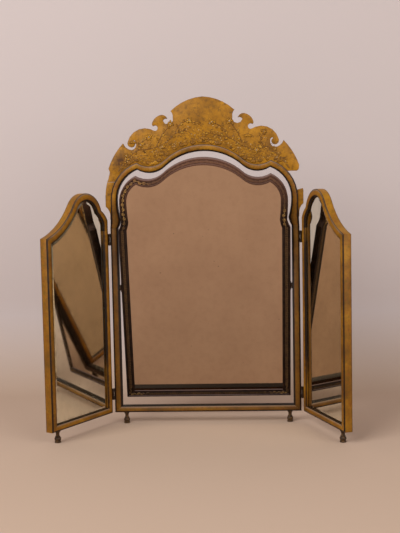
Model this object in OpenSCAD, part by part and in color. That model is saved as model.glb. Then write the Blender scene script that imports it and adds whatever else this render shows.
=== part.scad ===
// Table mirror: a triple dressing mirror in lacquered wood, on four turned feet. Millimetres.
// +Z is up and -Y faces the viewer. The origin is on the floor, under the middle of the whole.

/* [Centre frame] */
// Width of the centre frame
frame_w = 456; // [448:1:464]
// Depth of the gold frames, front to back
frame_d = 20.5; // [19.5:0.5:24]
// Width of the moulded face of the gold stiles
face_w = 18; // [17:0.5:20]
// Height of the gold bottom rails
rail_h = 15.5; // [14:0.5:17]
// Height of the centre arch above the floor
crown_h = 677.6; // [668:0.1:696]
// Width of the moulded face round the centre arch
arch_face = 15.5; // [14:0.5:17]
// Radius of the arch's crown
crown_r = 140; // [136:1:144]
// Radius of the hollow beside the crown
trough_r = 54.5; // [52:0.5:57]
// Distance of that hollow from the middle
trough_x = 130.5; // [128:0.5:133]
// Radius of the shoulder
shoulder_r = 94; // [91:0.5:97]
// Height of the crown above the widest part of the shoulders
shoulder_drop = 130; // [126:1:134]
// How far the shoulders stand in from the stiles
shoulder_in = 2.5; // [1.5:0.5:4]
// How far the cusp under each shoulder reaches in from the stile's inner edge
cusp_in = 7.5; // [6:0.5:9]
// Height of the shoulders' widest part above the cusps
cusp_drop = 47.5; // [44:0.5:51]
// Height of the cusps above the top of the stiles
stile_drop = 20; // [16:1:24]

/* [Gold moulding] */
// Width of the quirk along the outer edge
quirk = 2.4; // [1.6:0.2:3.2]
// Height of the rounded face
cushion = 1.3; // [0.8:0.1:2]
// Width of the sunk band along the inner edge
inner_band = 2.6; // [2:0.2:3.4]
// Depth of the sunk band
band_depth = 3.2; // [2.4:0.2:4]

/* [Crest] */
// Height of the crest board above the arch
crest_rise = 114; // [104:1:124]
// Thickness of the crest board
crest_t = 9; // [7:0.5:11]
// Depth of the crest's face behind the front of the frame
crest_back = 8; // [7:0.5:9.5]
// How far the crest is let in behind the arch's moulding
crest_let_in = 7; // [5:0.5:8]
// How far the ears stand out past the frame
ear_out = 10.8; // [9:0.2:13]
// Width of the crack at the left ear
crack = 0.5; // [0.3:0.1:1]

/* [Swinging mirror] */
// Height of the pivots above the floor
pivot_h = 334.5; // [327:1:342]
// Lean of the mirror in the photographed pose, top forward, in degrees
tilt = 12.5; // [8:0.5:20]
// Width of the gap at each pivot
pivot_gap = 4.8; // [4.4:0.1:6]
// Gap between the gold arch and the swinging arch
arch_gap = 10.5; // [9:0.5:12]
// Gap between the gold bottom rail and the swinging mirror when it stands upright
bottom_gap = 4; // [3:0.5:6]
// Depth of the swinging frame
swing_d = 18; // [16:0.5:19]
// Width of the swinging frame's stiles
swing_face = 20; // [18:0.5:22]
// Height of its bottom rail
swing_rail = 17; // [15:0.5:19]
// Width of its arch
swing_arch_face = 17; // [15:0.5:19]
// How far its cusps stay clear of the gold ones
cusp_gap = 5; // [4:0.5:7]
// Thickness of the raised edges along the carved band
bead = 4; // [3:0.2:4.6]
// Depth of the carved band
carved_depth = 1.6; // [1:0.2:2.4]

/* [Wings] */
// Width of a wing
wing_w = 225; // [219:0.5:226]
// Height of a wing's arch above the floor
wing_h = 566; // [556:1:576]
// Distance of the wing's highest point from its hinged edge
wing_peak = 80.5; // [77:0.5:84]
// Radius of the arch on the hinge side
lobe_r = 60; // [57:1:62]
// Radius of the arch on the outer side
wing_crown_r = 57; // [55:1:60]
// Radius of the long hollow down to the outer corner
wing_trough_r = 177; // [167:2:187]
// Height of the wing's peak above its outer corner
wing_fall = 99.5; // [95:0.5:104]
// Height of the wing's peak above the top of its hinge stile
wing_stile_drop = 91.5; // [87:0.5:96]
// Height of the small ogee above the top of the hinge stile
ogee_rise = 25; // [20:1:28]
// Forward swing of the left wing in the photographed pose, in degrees
swing_left = 60.6; // [40:0.2:80]
// Forward swing of the right wing in the photographed pose, in degrees
swing_right = 70; // [40:0.2:80]

/* [Glass and backs] */
// Thickness of the mirror glass
glass_t = 4; // [3:0.5:5]
// Thickness of the backboards
board_t = 3.8; // [3:0.2:4.2]
// Width of the rebate that holds the glass
rebate_w = 6; // [5:0.5:7]
// Thickness of wood in front of the glass in the wings
wing_lip = 6; // [5:0.5:8]
// Thickness of wood in front of the glass in the swinging mirror
swing_lip = 3; // [2.8:0.2:5]

/* [Hinges and pivots] */
// Gap between the centre frame and a wing
hinge_gap = 4.6; // [4.4:0.1:5.6]
// Height of a hinge
hinge_h = 28; // [24:1:32]
// Thickness of a hinge leaf
leaf_t = 0.8; // [0.7:0.1:0.9]
// Width of a hinge leaf on the stile
leaf_w = 15; // [13:0.5:16]
// Gap between a hinge knuckle and the other leaf
knuckle_gap = 0.3; // [0.2:0.1:0.4]
// Radius of a hinge pin
hinge_pin_r = 0.6; // [0.5:0.1:0.7]
// Radius of a pivot pin
pivot_pin_r = 2.5; // [2:0.1:2.8]
// Radius of a pivot plate
pivot_plate_r = 7.5; // [7:0.1:8]

/* [Feet] */
// Height of the turned feet
foot_h = 28; // [25:0.5:32]
// Radius of a foot's base
foot_r = 7.4; // [7:0.1:8]
// Radius of a foot's ball
ball_r = 7.8; // [7.4:0.1:8.4]
// Height of a foot's ball
ball_h = 9; // [8:0.2:10]
// Radius of a foot's dowel
dowel_r = 3.5; // [2.5:0.1:4]
// Distance of the centre frame's feet from its sides
foot_in = 27.5; // [24:0.5:30]
// Distance of a wing's foot from its outer edge
wing_foot_in = 26.5; // [23:0.5:30]

/* [Hidden] */
$fn = 48;
left = -1;
right = 1;
// Fits: glued joints, pieces that drop in, tight pins, and pins that turn
glue = 0.1;
drop_in = 0.3;
tight = 0.01;
running = 0.05;
cut = 1;

half_w = frame_w / 2;
inner_x = half_w - face_w;
rail_top = foot_h + rail_h;
crown_c = [0, crown_h - crown_r];
trough_c = [trough_x, crown_c[1] + sqrt(pow(crown_r + trough_r, 2) - pow(trough_x, 2))];
shoulder_c = [half_w - shoulder_in - shoulder_r, crown_h - shoulder_drop];
cusp_h = shoulder_c[1] - cusp_drop;
spring_h = cusp_h - stile_drop;
cusp_x = inner_x - cusp_in;
cusp_hollow = 0.14;
crown_steps = 9;
trough_steps = 5;
edge_in = 1;

axis_y = frame_d / 2;
swing_x = inner_x - pivot_gap;
swing_front = axis_y - swing_d / 2;
swing_back = axis_y + swing_d / 2;
swing_foot = rail_top + bottom_gap;
swing_off = arch_face + arch_gap;
swing_cusp = cusp_x - cusp_gap;
swing_cusp_face = swing_face - 2.5;

hinge_x = half_w + hinge_gap / 2;
wing_edge = hinge_gap / 2;
wing_end = wing_edge + wing_w;
wing_spring = wing_h - wing_stile_drop;
wing_crown_c = [wing_peak, wing_h - wing_crown_r];
lobe_c = [wing_peak, wing_h - lobe_r];
corner_h = wing_h - wing_fall;
ogee_fall = 7;
lobe_end = 163;
lower_hinge_h = foot_h + 46;
upper_hinge_h = min(wing_spring, spring_h - 6) - 21;

screw_r = 1.4;
screw_head_r = 2.6;
screw_head_h = 1.2;
screw_len = 9;
leaf_head_r = 2.2;
leaf_head_h = leaf_t - 0.1;
small_screw_r = 0.8;
small_head_r = 1.5;
small_len = 6;
hinge_screw_z = 8;
knuckle_play = 0.3;
knuckle_r = hinge_gap / 2 - leaf_t - knuckle_gap;
web_y = knuckle_r - leaf_t;
pin_head_r = 1.1;
pin_head_h = 0.8;

plate_t = 1.5;
washer_t = 1.2;
washer_r = 6.5;
socket_r = 4.2;
socket_len = 10;
socket_w = 10;
socket_h = 18;
pin_in_stand = 10;
pin_in_swing = 8.5;
plate_screw_z = 5;
socket_screw_z = 6.6;

nail_r = 0.6;
nail_in = 6;
nail_over = 6;
board_y = drop_in + glass_t;
nail_y = board_y + board_t + nail_r + glue;
dowel_len = 9;
crest_screw_len = crest_t + 3.5;

gold = "#A8761E";
dark_wood = "#3F2A1C";
silver = "#B9BDB4";
board_brown = "#6B4A2C";
iron = "#2B2725";
bronze = "#6E5025";

// Small helpers on points
function point(p) = [p[0], p[1]];
function mix(a, b, t) = a + (b - a) * t;
function joined(parts) = [for (part = parts) each part];
function turned_back(list) = [for (i = [len(list) - 1 : -1 : 0]) list[i]];

// Points from p towards q on an arc that bows out to the left by b, without q itself
function bow(p, q, b, n) =
    let (c = norm(q - p), side = [p[1] - q[1], q[0] - p[0]] / c)
    abs(b) < 0.001
    ? [for (i = [0 : n - 1]) p + (q - p) * i / n]
    : let (r = (c * c / 4 + b * b) / (2 * b),
           o = (p + q) / 2 + side * (b - r),
           from = atan2(p[1] - o[1], p[0] - o[0]),
           turn = -4 * atan(2 * b / c))
      [for (i = [0 : n - 1]) o + abs(r) * [cos(from + turn * i / n), sin(from + turn * i / n)]];

// Points on a circle from one angle towards another, without the last
function arc(o, r, from, to, n) =
    [for (i = [0 : n - 1]) let (a = mix(from, to, i / n)) o + r * [cos(a), sin(a)]];

// Outline from points that each hold the bow to the next one
function outline(nodes, n) = concat(
    joined([for (i = [0 : len(nodes) - 2]) bow(point(nodes[i]), point(nodes[i + 1]), nodes[i][2], n)]),
    [point(nodes[len(nodes) - 1])]);

// Crossing of two circles, on the right of the line from the first centre to the second, or the place
// between them where they come nearest
function meet(c1, r1, c2, r2) =
    let (v = c2 - c1, d = norm(v), a = (r1 * r1 - r2 * r2 + d * d) / (2 * d))
    c1 + v * a / d + [v[1], -v[0]] * sqrt(max(0, r1 * r1 - a * a)) / d;

function both_sides(half) =
    concat([for (i = [len(half) - 1 : -1 : 1]) [-half[i][0], half[i][1]]], half);

// Right half of the centre outline, a height o lower, through its cusp and down to the stile
function half_line(o, cusp, foot) =
    let (low_crown = crown_c - [0, o],
         low_trough = trough_c - [0, o],
         lean = atan2(trough_c[1] - crown_c[1], trough_c[0]),
         corner = meet(shoulder_c, shoulder_r - o, low_trough, trough_r),
         in_trough = corner - low_trough,
         in_shoulder = corner - shoulder_c,
         wide = shoulder_c + [shoulder_r - o, 0],
         tip = [cusp, cusp_h],
         end = [foot, spring_h],
         swell = norm(wide - tip) / 2 * tan(atan2(wide[0] - tip[0], wide[1] - tip[1]) / 2))
    concat(
        arc(low_crown, crown_r, 90, lean, crown_steps),
        arc(low_trough, trough_r, lean + 180, 270, trough_steps),
        arc(low_trough, trough_r, 270, atan2(in_trough[1], in_trough[0]) + 360, 3),
        arc(shoulder_c, shoulder_r - o, atan2(in_shoulder[1], in_shoulder[0]), 0, 8),
        bow(wide, tip, swell, 4),
        bow(tip, end, -cusp_hollow * (foot - cusp), 3),
        [end]);

// Half lines across the gold frame and the swinging frame, t = 0 at the outer edge and 1 at the inner one
function stand_half(t, fit) =
    half_line(arch_face * t - fit, mix(half_w - edge_in, cusp_x, t) + fit, half_w - face_w * t);
function swing_half(t) =
    half_line(swing_off + swing_arch_face * t, swing_cusp - swing_cusp_face * t, swing_x - swing_face * t);

// An arch is jointed at the bottom of its hollows: one piece for the crown, one for each shoulder
function crown_part(half) = both_sides([for (i = [0 : crown_steps + trough_steps]) half[i]]);
function shoulder_part(half) =
    let (joint = crown_steps + trough_steps)
    concat([half[joint] + [glue, 0]], [for (i = [joint + 1 : len(half) - 1]) half[i]]);

// Line across a wing's arch, from its hinge stile over the peak to the outer corner
function wing_line(t) =
    let (o = face_w * t,
         outer = [wing_w, corner_h],
         hollow = meet(outer, wing_trough_r, wing_crown_c, wing_crown_r + wing_trough_r),
         lean = atan2(hollow[1] - wing_crown_c[1], hollow[0] - wing_crown_c[0]),
         r = wing_trough_r + o,
         ogee = [o, wing_spring + ogee_rise - ogee_fall * t],
         cusp = lobe_c + (lobe_r - o) * [cos(lobe_end), sin(lobe_end)])
    concat(
        bow([o, wing_spring], ogee, 0, 2),
        bow(ogee, cusp, 2.6, 4),
        arc(lobe_c, lobe_r - o, lobe_end, 90, 8),
        arc(wing_crown_c, wing_crown_r - o, 90, lean, 6),
        arc(hollow, r, lean + 180, 360 - acos((wing_w - o - hollow[0]) / r), 7),
        [[wing_w - o, hollow[1] - sqrt(r * r - pow(wing_w - o - hollow[0], 2))]]);

// Sections, as distance in from the outer edge and depth from the front
function gold_face(w) = concat(
    turned_back(outline([[quirk, cushion + 0.3, quirk * -0.15], [0, cushion + quirk * 0.6, 0]], 3)),
    outline([[quirk + 0.3, cushion, -cushion], [w - inner_band - 0.3, cushion, 0]], 5),
    [[w - inner_band, band_depth], [w, band_depth + 0.2]]);
function plain_section() = concat([[0, frame_d]], gold_face(face_w), [[face_w, frame_d]]);
function glazed_section() = concat([[0, frame_d]], gold_face(face_w),
    [[face_w, wing_lip], [face_w - rebate_w, wing_lip], [face_w - rebate_w, frame_d]]);
function crested_section() = concat([[crest_let_in, frame_d], [crest_let_in, crest_back], [0, crest_back]],
    gold_face(face_w), [[face_w, frame_d]]);
function carved_section() =
    let (f = swing_front, w = swing_face)
    concat([[0, swing_back]],
           turned_back(outline([[bead / 2, f, bead * 0.2], [0, f + bead / 2, 0]], 2)),
           [[bead, f + 0.2], [bead + 0.8, f + carved_depth], [w - bead - 1.6, f + carved_depth],
            [w - bead, f + 0.6], [w - 1, f + 0.9], [w, f + 2.2],
            [w, f + swing_lip], [w - rebate_w, f + swing_lip], [w - rebate_w, swing_back]]);

// Body swept along the lines that its section's points follow. rows holds one line per point.
module swept(rows, depths) {
    n = len(rows);
    m = len(rows[0]);
    points = [for (k = [0 : n - 1]) for (p = rows[k]) [p[0], depths[k], p[1]]];
    sides = [for (k = [0 : n - 1]) for (j = [0 : m - 2])
        let (a = k * m + j, b = (k + 1) % n * m + j) each [[a, a + 1, b], [b, a + 1, b + 1]]];
    ends = [[for (k = [0 : n - 1]) k * m], [for (k = [0 : n - 1]) (n - 1 - k) * m + m - 1]];
    polyhedron(points, concat(sides, ends), convexity = 10);
}

// Prism with an outline in x and z, from one depth to another
module board(points, front, back) {
    translate([0, back, 0]) rotate([90, 0, 0]) linear_extrude(back - front) polygon(points);
}

// Upright of a frame, whose section runs inwards from x = edge along dir. Its foot is mitred to a rail of
// height h, and its head follows the points in tops, the outer one first.
module stile(section, w, h, edge, dir, low, tops) {
    outer = edge - dir * cut;
    inner = edge + dir * (w + cut);
    rise = cut * h / w;
    intersection() {
        translate([0, 0, low]) linear_extrude(max([for (p = tops) p[1]]) - low)
            polygon([for (p = section) [edge + dir * p[0], p[1]]]);
        board(concat([[outer, low + glue - rise], [outer, tops[0][1]]], tops,
                     [[inner, tops[len(tops) - 1][1]], [inner, low + h + glue + rise]]),
              -cut, frame_d + cut);
    }
}

// Bottom rail between two mitres, its section turned on its side and squeezed to its height
module rail(section, w, h, low, from, to) {
    intersection() {
        translate([from, 0, 0]) rotate([90, 0, 90]) linear_extrude(to - from)
            polygon([for (p = section) [p[1], low + p[0] * h / w]]);
        board([[from, low], [to, low], [to - w, low + h], [from + w, low + h]], -cut, frame_d + cut);
    }
}

module along_x(x, y, z, dir) {
    translate([x, y, z]) rotate([0, 90 * dir, 0]) children();
}

// Countersunk screw and its hole, head at z = 0, pointing up
module screw(r, head_r, head_h, len) {
    rotate_extrude() polygon([[0, 0], [head_r, 0], [r, head_h], [r, len - 2 * r], [0, len]]);
}
module screw_hole(r, len) {
    translate([0, 0, -cut]) cylinder(r = r + tight, h = len + cut);
}
module countersunk_hole(head_r, head_h, len) {
    screw_hole(screw_r, len);
    translate([0, 0, -tight]) cylinder(r1 = head_r + 2 * tight, r2 = screw_r + tight, h = head_h);
}

// Places for the moving frames
module leaning() {
    translate([0, axis_y, pivot_h]) rotate([tilt, 0, 0]) translate([0, -axis_y, -pivot_h]) children();
}
module on_side(side) {
    mirror([side < 0 ? 1 : 0, 0, 0]) children();
}
module on_wing(side) {
    on_side(side) translate([hinge_x, 0, 0]) rotate([0, 0, side < 0 ? -swing_left : -swing_right]) children();
}

// Middle of the whole, from the wings' far corners and the mirror's lower edge
reach_right = hinge_x + wing_end * cos(swing_right) + frame_d * sin(swing_right);
reach_left = hinge_x + wing_end * cos(swing_left) + frame_d * sin(swing_left);
reach_front = max([for (a = [swing_left, swing_right], p = gold_face(face_w))
    (wing_end - p[0]) * sin(a) - p[1] * cos(a)]);
reach_back = axis_y + swing_d / 2 * cos(tilt) + (pivot_h - swing_foot) * sin(tilt);
middle = [(reach_right - reach_left) / 2, (reach_back - reach_front) / 2];
module set_down() {
    translate([-middle[0], -middle[1], 0]) children();
}

// Gold stand
module foot() {
    ring_h = 3.6;
    groove_r = foot_r - 1.5;
    ball_low = ring_h + 0.8;
    ball_top = ball_low + ball_h;
    neck_r = ball_r - 3.5;
    ball_end = neck_r + 1.2;
    collar_r = ball_r - 1.1;
    profile = concat(
        outline([[foot_r - 0.3, 0, -0.3], [foot_r - 0.5, ring_h, 0], [groove_r, ring_h + 0.3, 0],
                 [groove_r, ball_low, (groove_r + ball_end) / 2 - ball_r], [ball_end, ball_top, 0],
                 [ball_end + 0.4, ball_top + 0.4, -0.3], [ball_end, ball_top + 1.5, 0],
                 [neck_r + 0.2, ball_top + 2, 0.2], [neck_r, ball_top + 4.5, 1.1],
                 [collar_r, foot_h - 2, -0.2], [collar_r, foot_h - glue, 0]], 4),
        [[dowel_r, foot_h - glue], [dowel_r, foot_h + dowel_len - 0.5], [dowel_r - 0.5, foot_h + dowel_len],
         [0, foot_h + dowel_len], [0, 0]]);
    rotate_extrude() polygon(profile);
}
module foot_bore() {
    translate([0, 0, foot_h - cut]) cylinder(r = dowel_r + tight, h = dowel_len + drop_in + cut);
}
module stand_foot(side) {
    color(bronze) translate([side * (half_w - foot_in), axis_y, 0]) foot();
}

module hinge_holes(dir) {
    for (z = [lower_hinge_h, upper_hinge_h], step = [-hinge_screw_z, hinge_screw_z])
        along_x(0, frame_d / 2, z + step, dir) screw_hole(screw_r, screw_len);
}
module stand_stile(side) {
    head = spring_h - glue;
    color(gold) on_side(side) difference() {
        stile(plain_section(), face_w, rail_h, half_w, -1, foot_h, [[half_w, head], [inner_x, head]]);
        translate([half_w, 0, 0]) hinge_holes(-1);
        along_x(inner_x, axis_y, pivot_h, 1) translate([0, 0, -cut])
            cylinder(r = pivot_pin_r + tight, h = pin_in_stand + drop_in + cut);
        for (step = [-plate_screw_z, plate_screw_z])
            along_x(inner_x, axis_y, pivot_h + step, 1) screw_hole(small_screw_r, small_len);
    }
}
module stand_bottom_rail() {
    color(gold) difference() {
        rail(plain_section(), face_w, rail_h, foot_h, -half_w, half_w);
        for (side = [left, right]) translate([side * (half_w - foot_in), axis_y, 0]) foot_bore();
    }
}
module stand_arch_crown() {
    section = crested_section();
    color(gold) swept([for (p = section) crown_part(stand_half(p[0] / face_w, 0))], [for (p = section) p[1]]);
}
module stand_arch_shoulder(side) {
    section = crested_section();
    color(gold) on_side(side)
        swept([for (p = section) shoulder_part(stand_half(p[0] / face_w, 0))], [for (p = section) p[1]]);
}

// Crest. Its drawing gives each height as a share of its rise above the arch, or of the shoulders below
// that, each distance from the middle as a share of half the frame, and each bow as a share of the rise.
function crest_z(share) = crown_h + share * (share > 0 ? crest_rise : crown_h - cusp_h);
notch_h = crest_z(-0.3437);
break_h = crest_z(-0.3803);
ear_top = crest_z(-0.4845);
stump_top = crest_z(-0.6141);
ear_low = crest_z(-0.9972);
// Right half of the scrolled edge, from the top to the corner above the ear
function crest_edge() = outline([for (p = [
    [0, 1, 0.0658], [0.3355, 0.7105, -0.0158], [0.3136, 0.5833, -0.1167], [0.4189, 0.5132, -0.0254],
    [0.3706, 0.5482, 0.0316], [0.4408, 0.6333, 0.0395], [0.5351, 0.4474, 0.0053], [0.5241, 0.4035, -0.0368],
    [0.475, 0.3596, -0.0175], [0.5044, 0.3044, -0.0044], [0.5482, 0.3421, 0.1272], [0.7969, 0.0746, 0.0316],
    [0.7588, -0.0186, 0.0211], [0.7193, 0.0395, 0.014], [0.739, 0.0991, 0], [0.7325, 0.1219, -0.0202],
    [0.707, 0.0351, -0.0333], [0.7579, -0.0546, -0.0316], [0.8465, 0.0553, 0.0342], [1.0066, -0.3014, 0]])
    [p[0] * half_w, crest_z(p[1]), p[2] * crest_rise]], 5);

// Edge of an ear, from its top to the cove below it
function ear_edge(top, out) = outline([
    [half_w + out, top, 0.8], [half_w + ear_out, crest_z(-0.6817), 0],
    [half_w + ear_out, crest_z(-0.8169), -ear_out / 3], [half_w + 0.5, crest_z(-0.9577), 0],
    [half_w + 0.2, ear_low, 0]], 4);
// Let-in edge on the right between two heights, from the top down
function crossing(line, z) = [for (i = [0 : len(line) - 2]) let (a = line[i], b = line[i + 1])
    if (a[1] >= z && b[1] < z) mix(a, b, (a[1] - z) / (a[1] - b[1]))];
function let_in(high, low) =
    let (line = stand_half(crest_let_in / face_w, glue))
    concat(crossing(line, high), [for (p = line) if (p[1] < high && p[1] > low) p], crossing(line, low));
function mirrored(list) = [for (p = turned_back(list)) [-p[0], p[1]]];

// Screws through the let-in margin, with the height taken from the arch
crest_screw_x = [for (share = [-0.877, -0.49, -0.175, 0.175, 0.49, 0.798]) share * half_w];
crest_screw_in = 3.2;
module at_crest_screws() {
    line = half_line(crest_screw_in, cusp_x, half_w);
    for (x = crest_screw_x) {
        i = max([for (k = [0 : len(line) - 2]) if (line[k][0] <= abs(x) && line[k][1] > ear_top) k]);
        z = lookup(abs(x), [line[i], line[i + 1]]);
        translate([x, crest_back + crest_t, z]) rotate([90, 0, 0]) children();
    }
}
module crest_board() {
    notch = outline([[half_w - 1.2, notch_h, -0.6], [half_w + 1, mix(notch_h, ear_top, 0.44), -0.8],
                     [half_w + 5.6, ear_top + crack, 0]], 4);
    broken = outline([[half_w + 0.8, notch_h + 1, 2], [half_w - 6, break_h, -0.4],
                      [half_w * 0.886, break_h, 0]], 4);
    color(gold) difference() {
        board(concat(mirrored(notch), mirrored(crest_edge()), crest_edge(), broken,
                     turned_back(let_in(crown_h, break_h)),
                     mirrored(turned_back(let_in(crown_h, ear_top + crack)))),
              crest_back + glue, crest_back + crest_t);
        at_crest_screws() countersunk_hole(screw_head_r, screw_head_h, crest_screw_len);
    }
}
module crest_ear(side) {
    top = side < 0 ? ear_top : stump_top;
    out = side < 0 ? 5.8 : 9.6;
    dip = side < 0 ? 0 : 5;
    color(gold) on_side(side)
        board(concat(ear_edge(top, out), turned_back(let_in(top - dip, ear_low + 2))),
              crest_back + glue, crest_back + crest_t);
}
module crest_screws() {
    color(iron) at_crest_screws() screw(screw_r, screw_head_r, screw_head_h, crest_screw_len);
}

// Pivots between the stand and the swinging mirror
module pivot_plate(side) {
    color(iron) on_side(side) along_x(inner_x, axis_y, pivot_h, -1) difference() {
        cylinder(r = pivot_plate_r, h = plate_t);
        translate([0, 0, -cut]) cylinder(r = pivot_pin_r + tight, h = plate_t + 2 * cut);
        for (step = [-plate_screw_z, plate_screw_z]) translate([step, 0, -cut])
            cylinder(r = small_head_r + tight, h = plate_t + 2 * cut);
    }
}
module pivot_pin(side) {
    color(iron) on_side(side) along_x(inner_x + pin_in_stand, axis_y, pivot_h, -1)
        cylinder(r = pivot_pin_r, h = pin_in_stand + pivot_gap + pin_in_swing);
}
module pivot_washer(side) {
    color(board_brown) on_side(side) along_x(inner_x - plate_t - glue, axis_y, pivot_h, -1) difference() {
        cylinder(r = washer_r, h = washer_t);
        translate([0, 0, -cut]) cylinder(r = pivot_pin_r + running, h = washer_t + 2 * cut);
    }
}
module pivot_plate_screws() {
    color(iron) for (side = [left, right], step = [-plate_screw_z, plate_screw_z]) on_side(side)
        along_x(inner_x - plate_t, axis_y, pivot_h + step, 1) {
            cylinder(r = small_head_r, h = plate_t);
            cylinder(r = small_screw_r, h = plate_t + small_len - drop_in);
        }
}
module pivot_socket(side) {
    color(iron) leaning() on_side(side) difference() {
        union() {
            along_x(swing_x, axis_y, pivot_h, -1) cylinder(r = socket_r, h = socket_len);
            translate([swing_x, axis_y - socket_w / 2, pivot_h - socket_h / 2])
                cube([plate_t, socket_w, socket_h]);
        }
        along_x(swing_x + plate_t + cut, axis_y, pivot_h, -1)
            cylinder(r = pivot_pin_r + running, h = plate_t + cut + pin_in_swing + drop_in);
        for (step = [-socket_screw_z, socket_screw_z])
            along_x(swing_x + plate_t + cut, axis_y, pivot_h + step, -1)
                cylinder(r = small_head_r + tight, h = plate_t + cut);
    }
}
module pivot_socket_screws() {
    color(iron) leaning() for (side = [left, right], step = [-socket_screw_z, socket_screw_z])
        on_side(side) along_x(swing_x + plate_t, axis_y, pivot_h + step, -1) {
            cylinder(r = small_head_r, h = plate_t);
            cylinder(r = small_screw_r, h = plate_t + small_len - drop_in);
        }
}

// Swinging mirror, with five pins a side to hold its backboard
module at_nails(x, y, low, high, dir) {
    for (i = [0 : 4]) along_x(x, y, mix(low, high, (i + 0.5) / 5), dir) children();
}
module nail() {
    translate([0, 0, -nail_over]) cylinder(r = nail_r, h = nail_over + nail_in);
}
module at_swing_nails() {
    at_nails(swing_x - swing_face + rebate_w, swing_front + swing_lip + nail_y,
             swing_foot + swing_rail, spring_h, 1) children();
}
module swing_stile(side) {
    head = spring_h - glue;
    color(dark_wood) leaning() on_side(side) difference() {
        stile(carved_section(), swing_face, swing_rail, swing_x, -1, swing_foot,
              [[swing_x, head], [swing_x - swing_face, head]]);
        along_x(swing_x + cut, axis_y, pivot_h, -1)
            cylinder(r = socket_r + tight, h = cut + socket_len + drop_in);
        for (step = [-socket_screw_z, socket_screw_z])
            along_x(swing_x, axis_y, pivot_h + step, -1) screw_hole(small_screw_r, small_len);
        at_swing_nails() screw_hole(nail_r, nail_in + drop_in);
    }
}
module swing_bottom_rail() {
    color(dark_wood) leaning() rail(carved_section(), swing_face, swing_rail, swing_foot, -swing_x, swing_x);
}
module swing_arch_crown() {
    section = carved_section();
    color(dark_wood) leaning()
        swept([for (p = section) crown_part(swing_half(p[0] / swing_face))], [for (p = section) p[1]]);
}
module swing_arch_shoulder(side) {
    section = carved_section();
    color(dark_wood) leaning() on_side(side)
        swept([for (p = section) shoulder_part(swing_half(p[0] / swing_face))], [for (p = section) p[1]]);
}
function swing_pane() =
    let (t = (swing_face - rebate_w + drop_in) / swing_face,
         x = swing_x - swing_face * t,
         low = swing_foot + swing_rail * t)
    concat([[x, low], [-x, low]], both_sides(swing_half(t)));
module centre_glass() {
    front = swing_front + swing_lip + glue;
    color(silver) leaning() board(swing_pane(), front, front + glass_t);
}
module centre_backboard() {
    front = swing_front + swing_lip + board_y;
    color(board_brown) leaning() board(swing_pane(), front, front + board_t);
}
module centre_backboard_pins() {
    color(iron) leaning() for (side = [left, right]) on_side(side) at_swing_nails() nail();
}

// Hinges. A leaf lies on its stile's edge and reaches round to its knuckles.
function knuckle_h() = (hinge_h - 2 * knuckle_play) / 3;
module leaf(knuckles, bore_r) {
    difference() {
        union() {
            translate([-wing_edge, web_y, -hinge_h / 2]) cube([leaf_t, leaf_w, hinge_h]);
            for (k = knuckles) translate([0, 0, k * (knuckle_h() + knuckle_play) - knuckle_h() / 2]) {
                cylinder(r = knuckle_r, h = knuckle_h());
                translate([-wing_edge, web_y, 0]) cube([wing_edge, leaf_t, knuckle_h()]);
            }
        }
        translate([0, 0, -hinge_h]) cylinder(r = bore_r, h = 2 * hinge_h);
        for (step = [-hinge_screw_z, hinge_screw_z])
            along_x(-wing_edge + leaf_t, frame_d / 2, step, -1)
                countersunk_hole(leaf_head_r, leaf_head_h, leaf_t + cut);
    }
}
module stand_leaf(side, z) {
    color(iron) on_side(side) translate([hinge_x, 0, z]) leaf([-1, 1], hinge_pin_r + tight);
}
module wing_leaf(side, z) {
    color(iron) on_wing(side) translate([0, 0, z]) mirror([1, 0, 0]) leaf([0], hinge_pin_r + running);
}
module hinge_pin(side, z) {
    color(iron) on_side(side) translate([hinge_x, 0, z]) {
        translate([0, 0, -hinge_h / 2]) cylinder(r = hinge_pin_r, h = hinge_h);
        for (end = [0, 1]) mirror([0, 0, end]) translate([0, 0, hinge_h / 2])
            cylinder(r1 = pin_head_r, r2 = hinge_pin_r, h = pin_head_h);
    }
}
module hinge_screws(dir) {
    for (z = [lower_hinge_h, upper_hinge_h], step = [-hinge_screw_z, hinge_screw_z])
        along_x(0, frame_d / 2, z + step, dir)
            screw(screw_r, leaf_head_r, leaf_head_h, screw_len + leaf_t - drop_in);
}
module hinge_screws_stand() {
    color(iron) for (side = [left, right]) on_side(side)
        translate([half_w + leaf_t, 0, 0]) hinge_screws(-1);
}
module hinge_screws_wing(side) {
    color(iron) on_wing(side) translate([wing_edge - leaf_t, 0, 0]) hinge_screws(1);
}

// Wings, built as the right one at rest in line with the stand: x runs out from the hinge pin
module at_wing_nails(x, dir) {
    at_nails(x, wing_lip + nail_y, rail_top, corner_h - face_w, dir) children();
}
module wing_hinge_stile(side) {
    head = wing_spring - glue;
    color(gold) on_wing(side) translate([wing_edge, 0, 0]) difference() {
        stile(glazed_section(), face_w, rail_h, 0, 1, foot_h, [[0, head], [face_w, head]]);
        hinge_holes(1);
        at_wing_nails(face_w - rebate_w, -1) screw_hole(nail_r, nail_in + drop_in);
    }
}
module wing_outer_stile(side) {
    head = [for (t = [0 : 0.25 : 1]) let (line = wing_line(t)) line[len(line) - 1] - [0, glue]];
    color(gold) on_wing(side) translate([wing_edge, 0, 0]) difference() {
        stile(glazed_section(), face_w, rail_h, wing_w, -1, foot_h, head);
        at_wing_nails(wing_w - face_w + rebate_w, 1) screw_hole(nail_r, nail_in + drop_in);
    }
}
module wing_bottom_rail(side) {
    color(gold) on_wing(side) translate([wing_edge, 0, 0]) difference() {
        rail(glazed_section(), face_w, rail_h, foot_h, 0, wing_w);
        translate([wing_w - wing_foot_in, axis_y, 0]) foot_bore();
    }
}
module wing_arch(side) {
    section = glazed_section();
    color(gold) on_wing(side) translate([wing_edge, 0, 0])
        swept([for (p = section) wing_line(p[0] / face_w)], [for (p = section) p[1]]);
}
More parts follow.
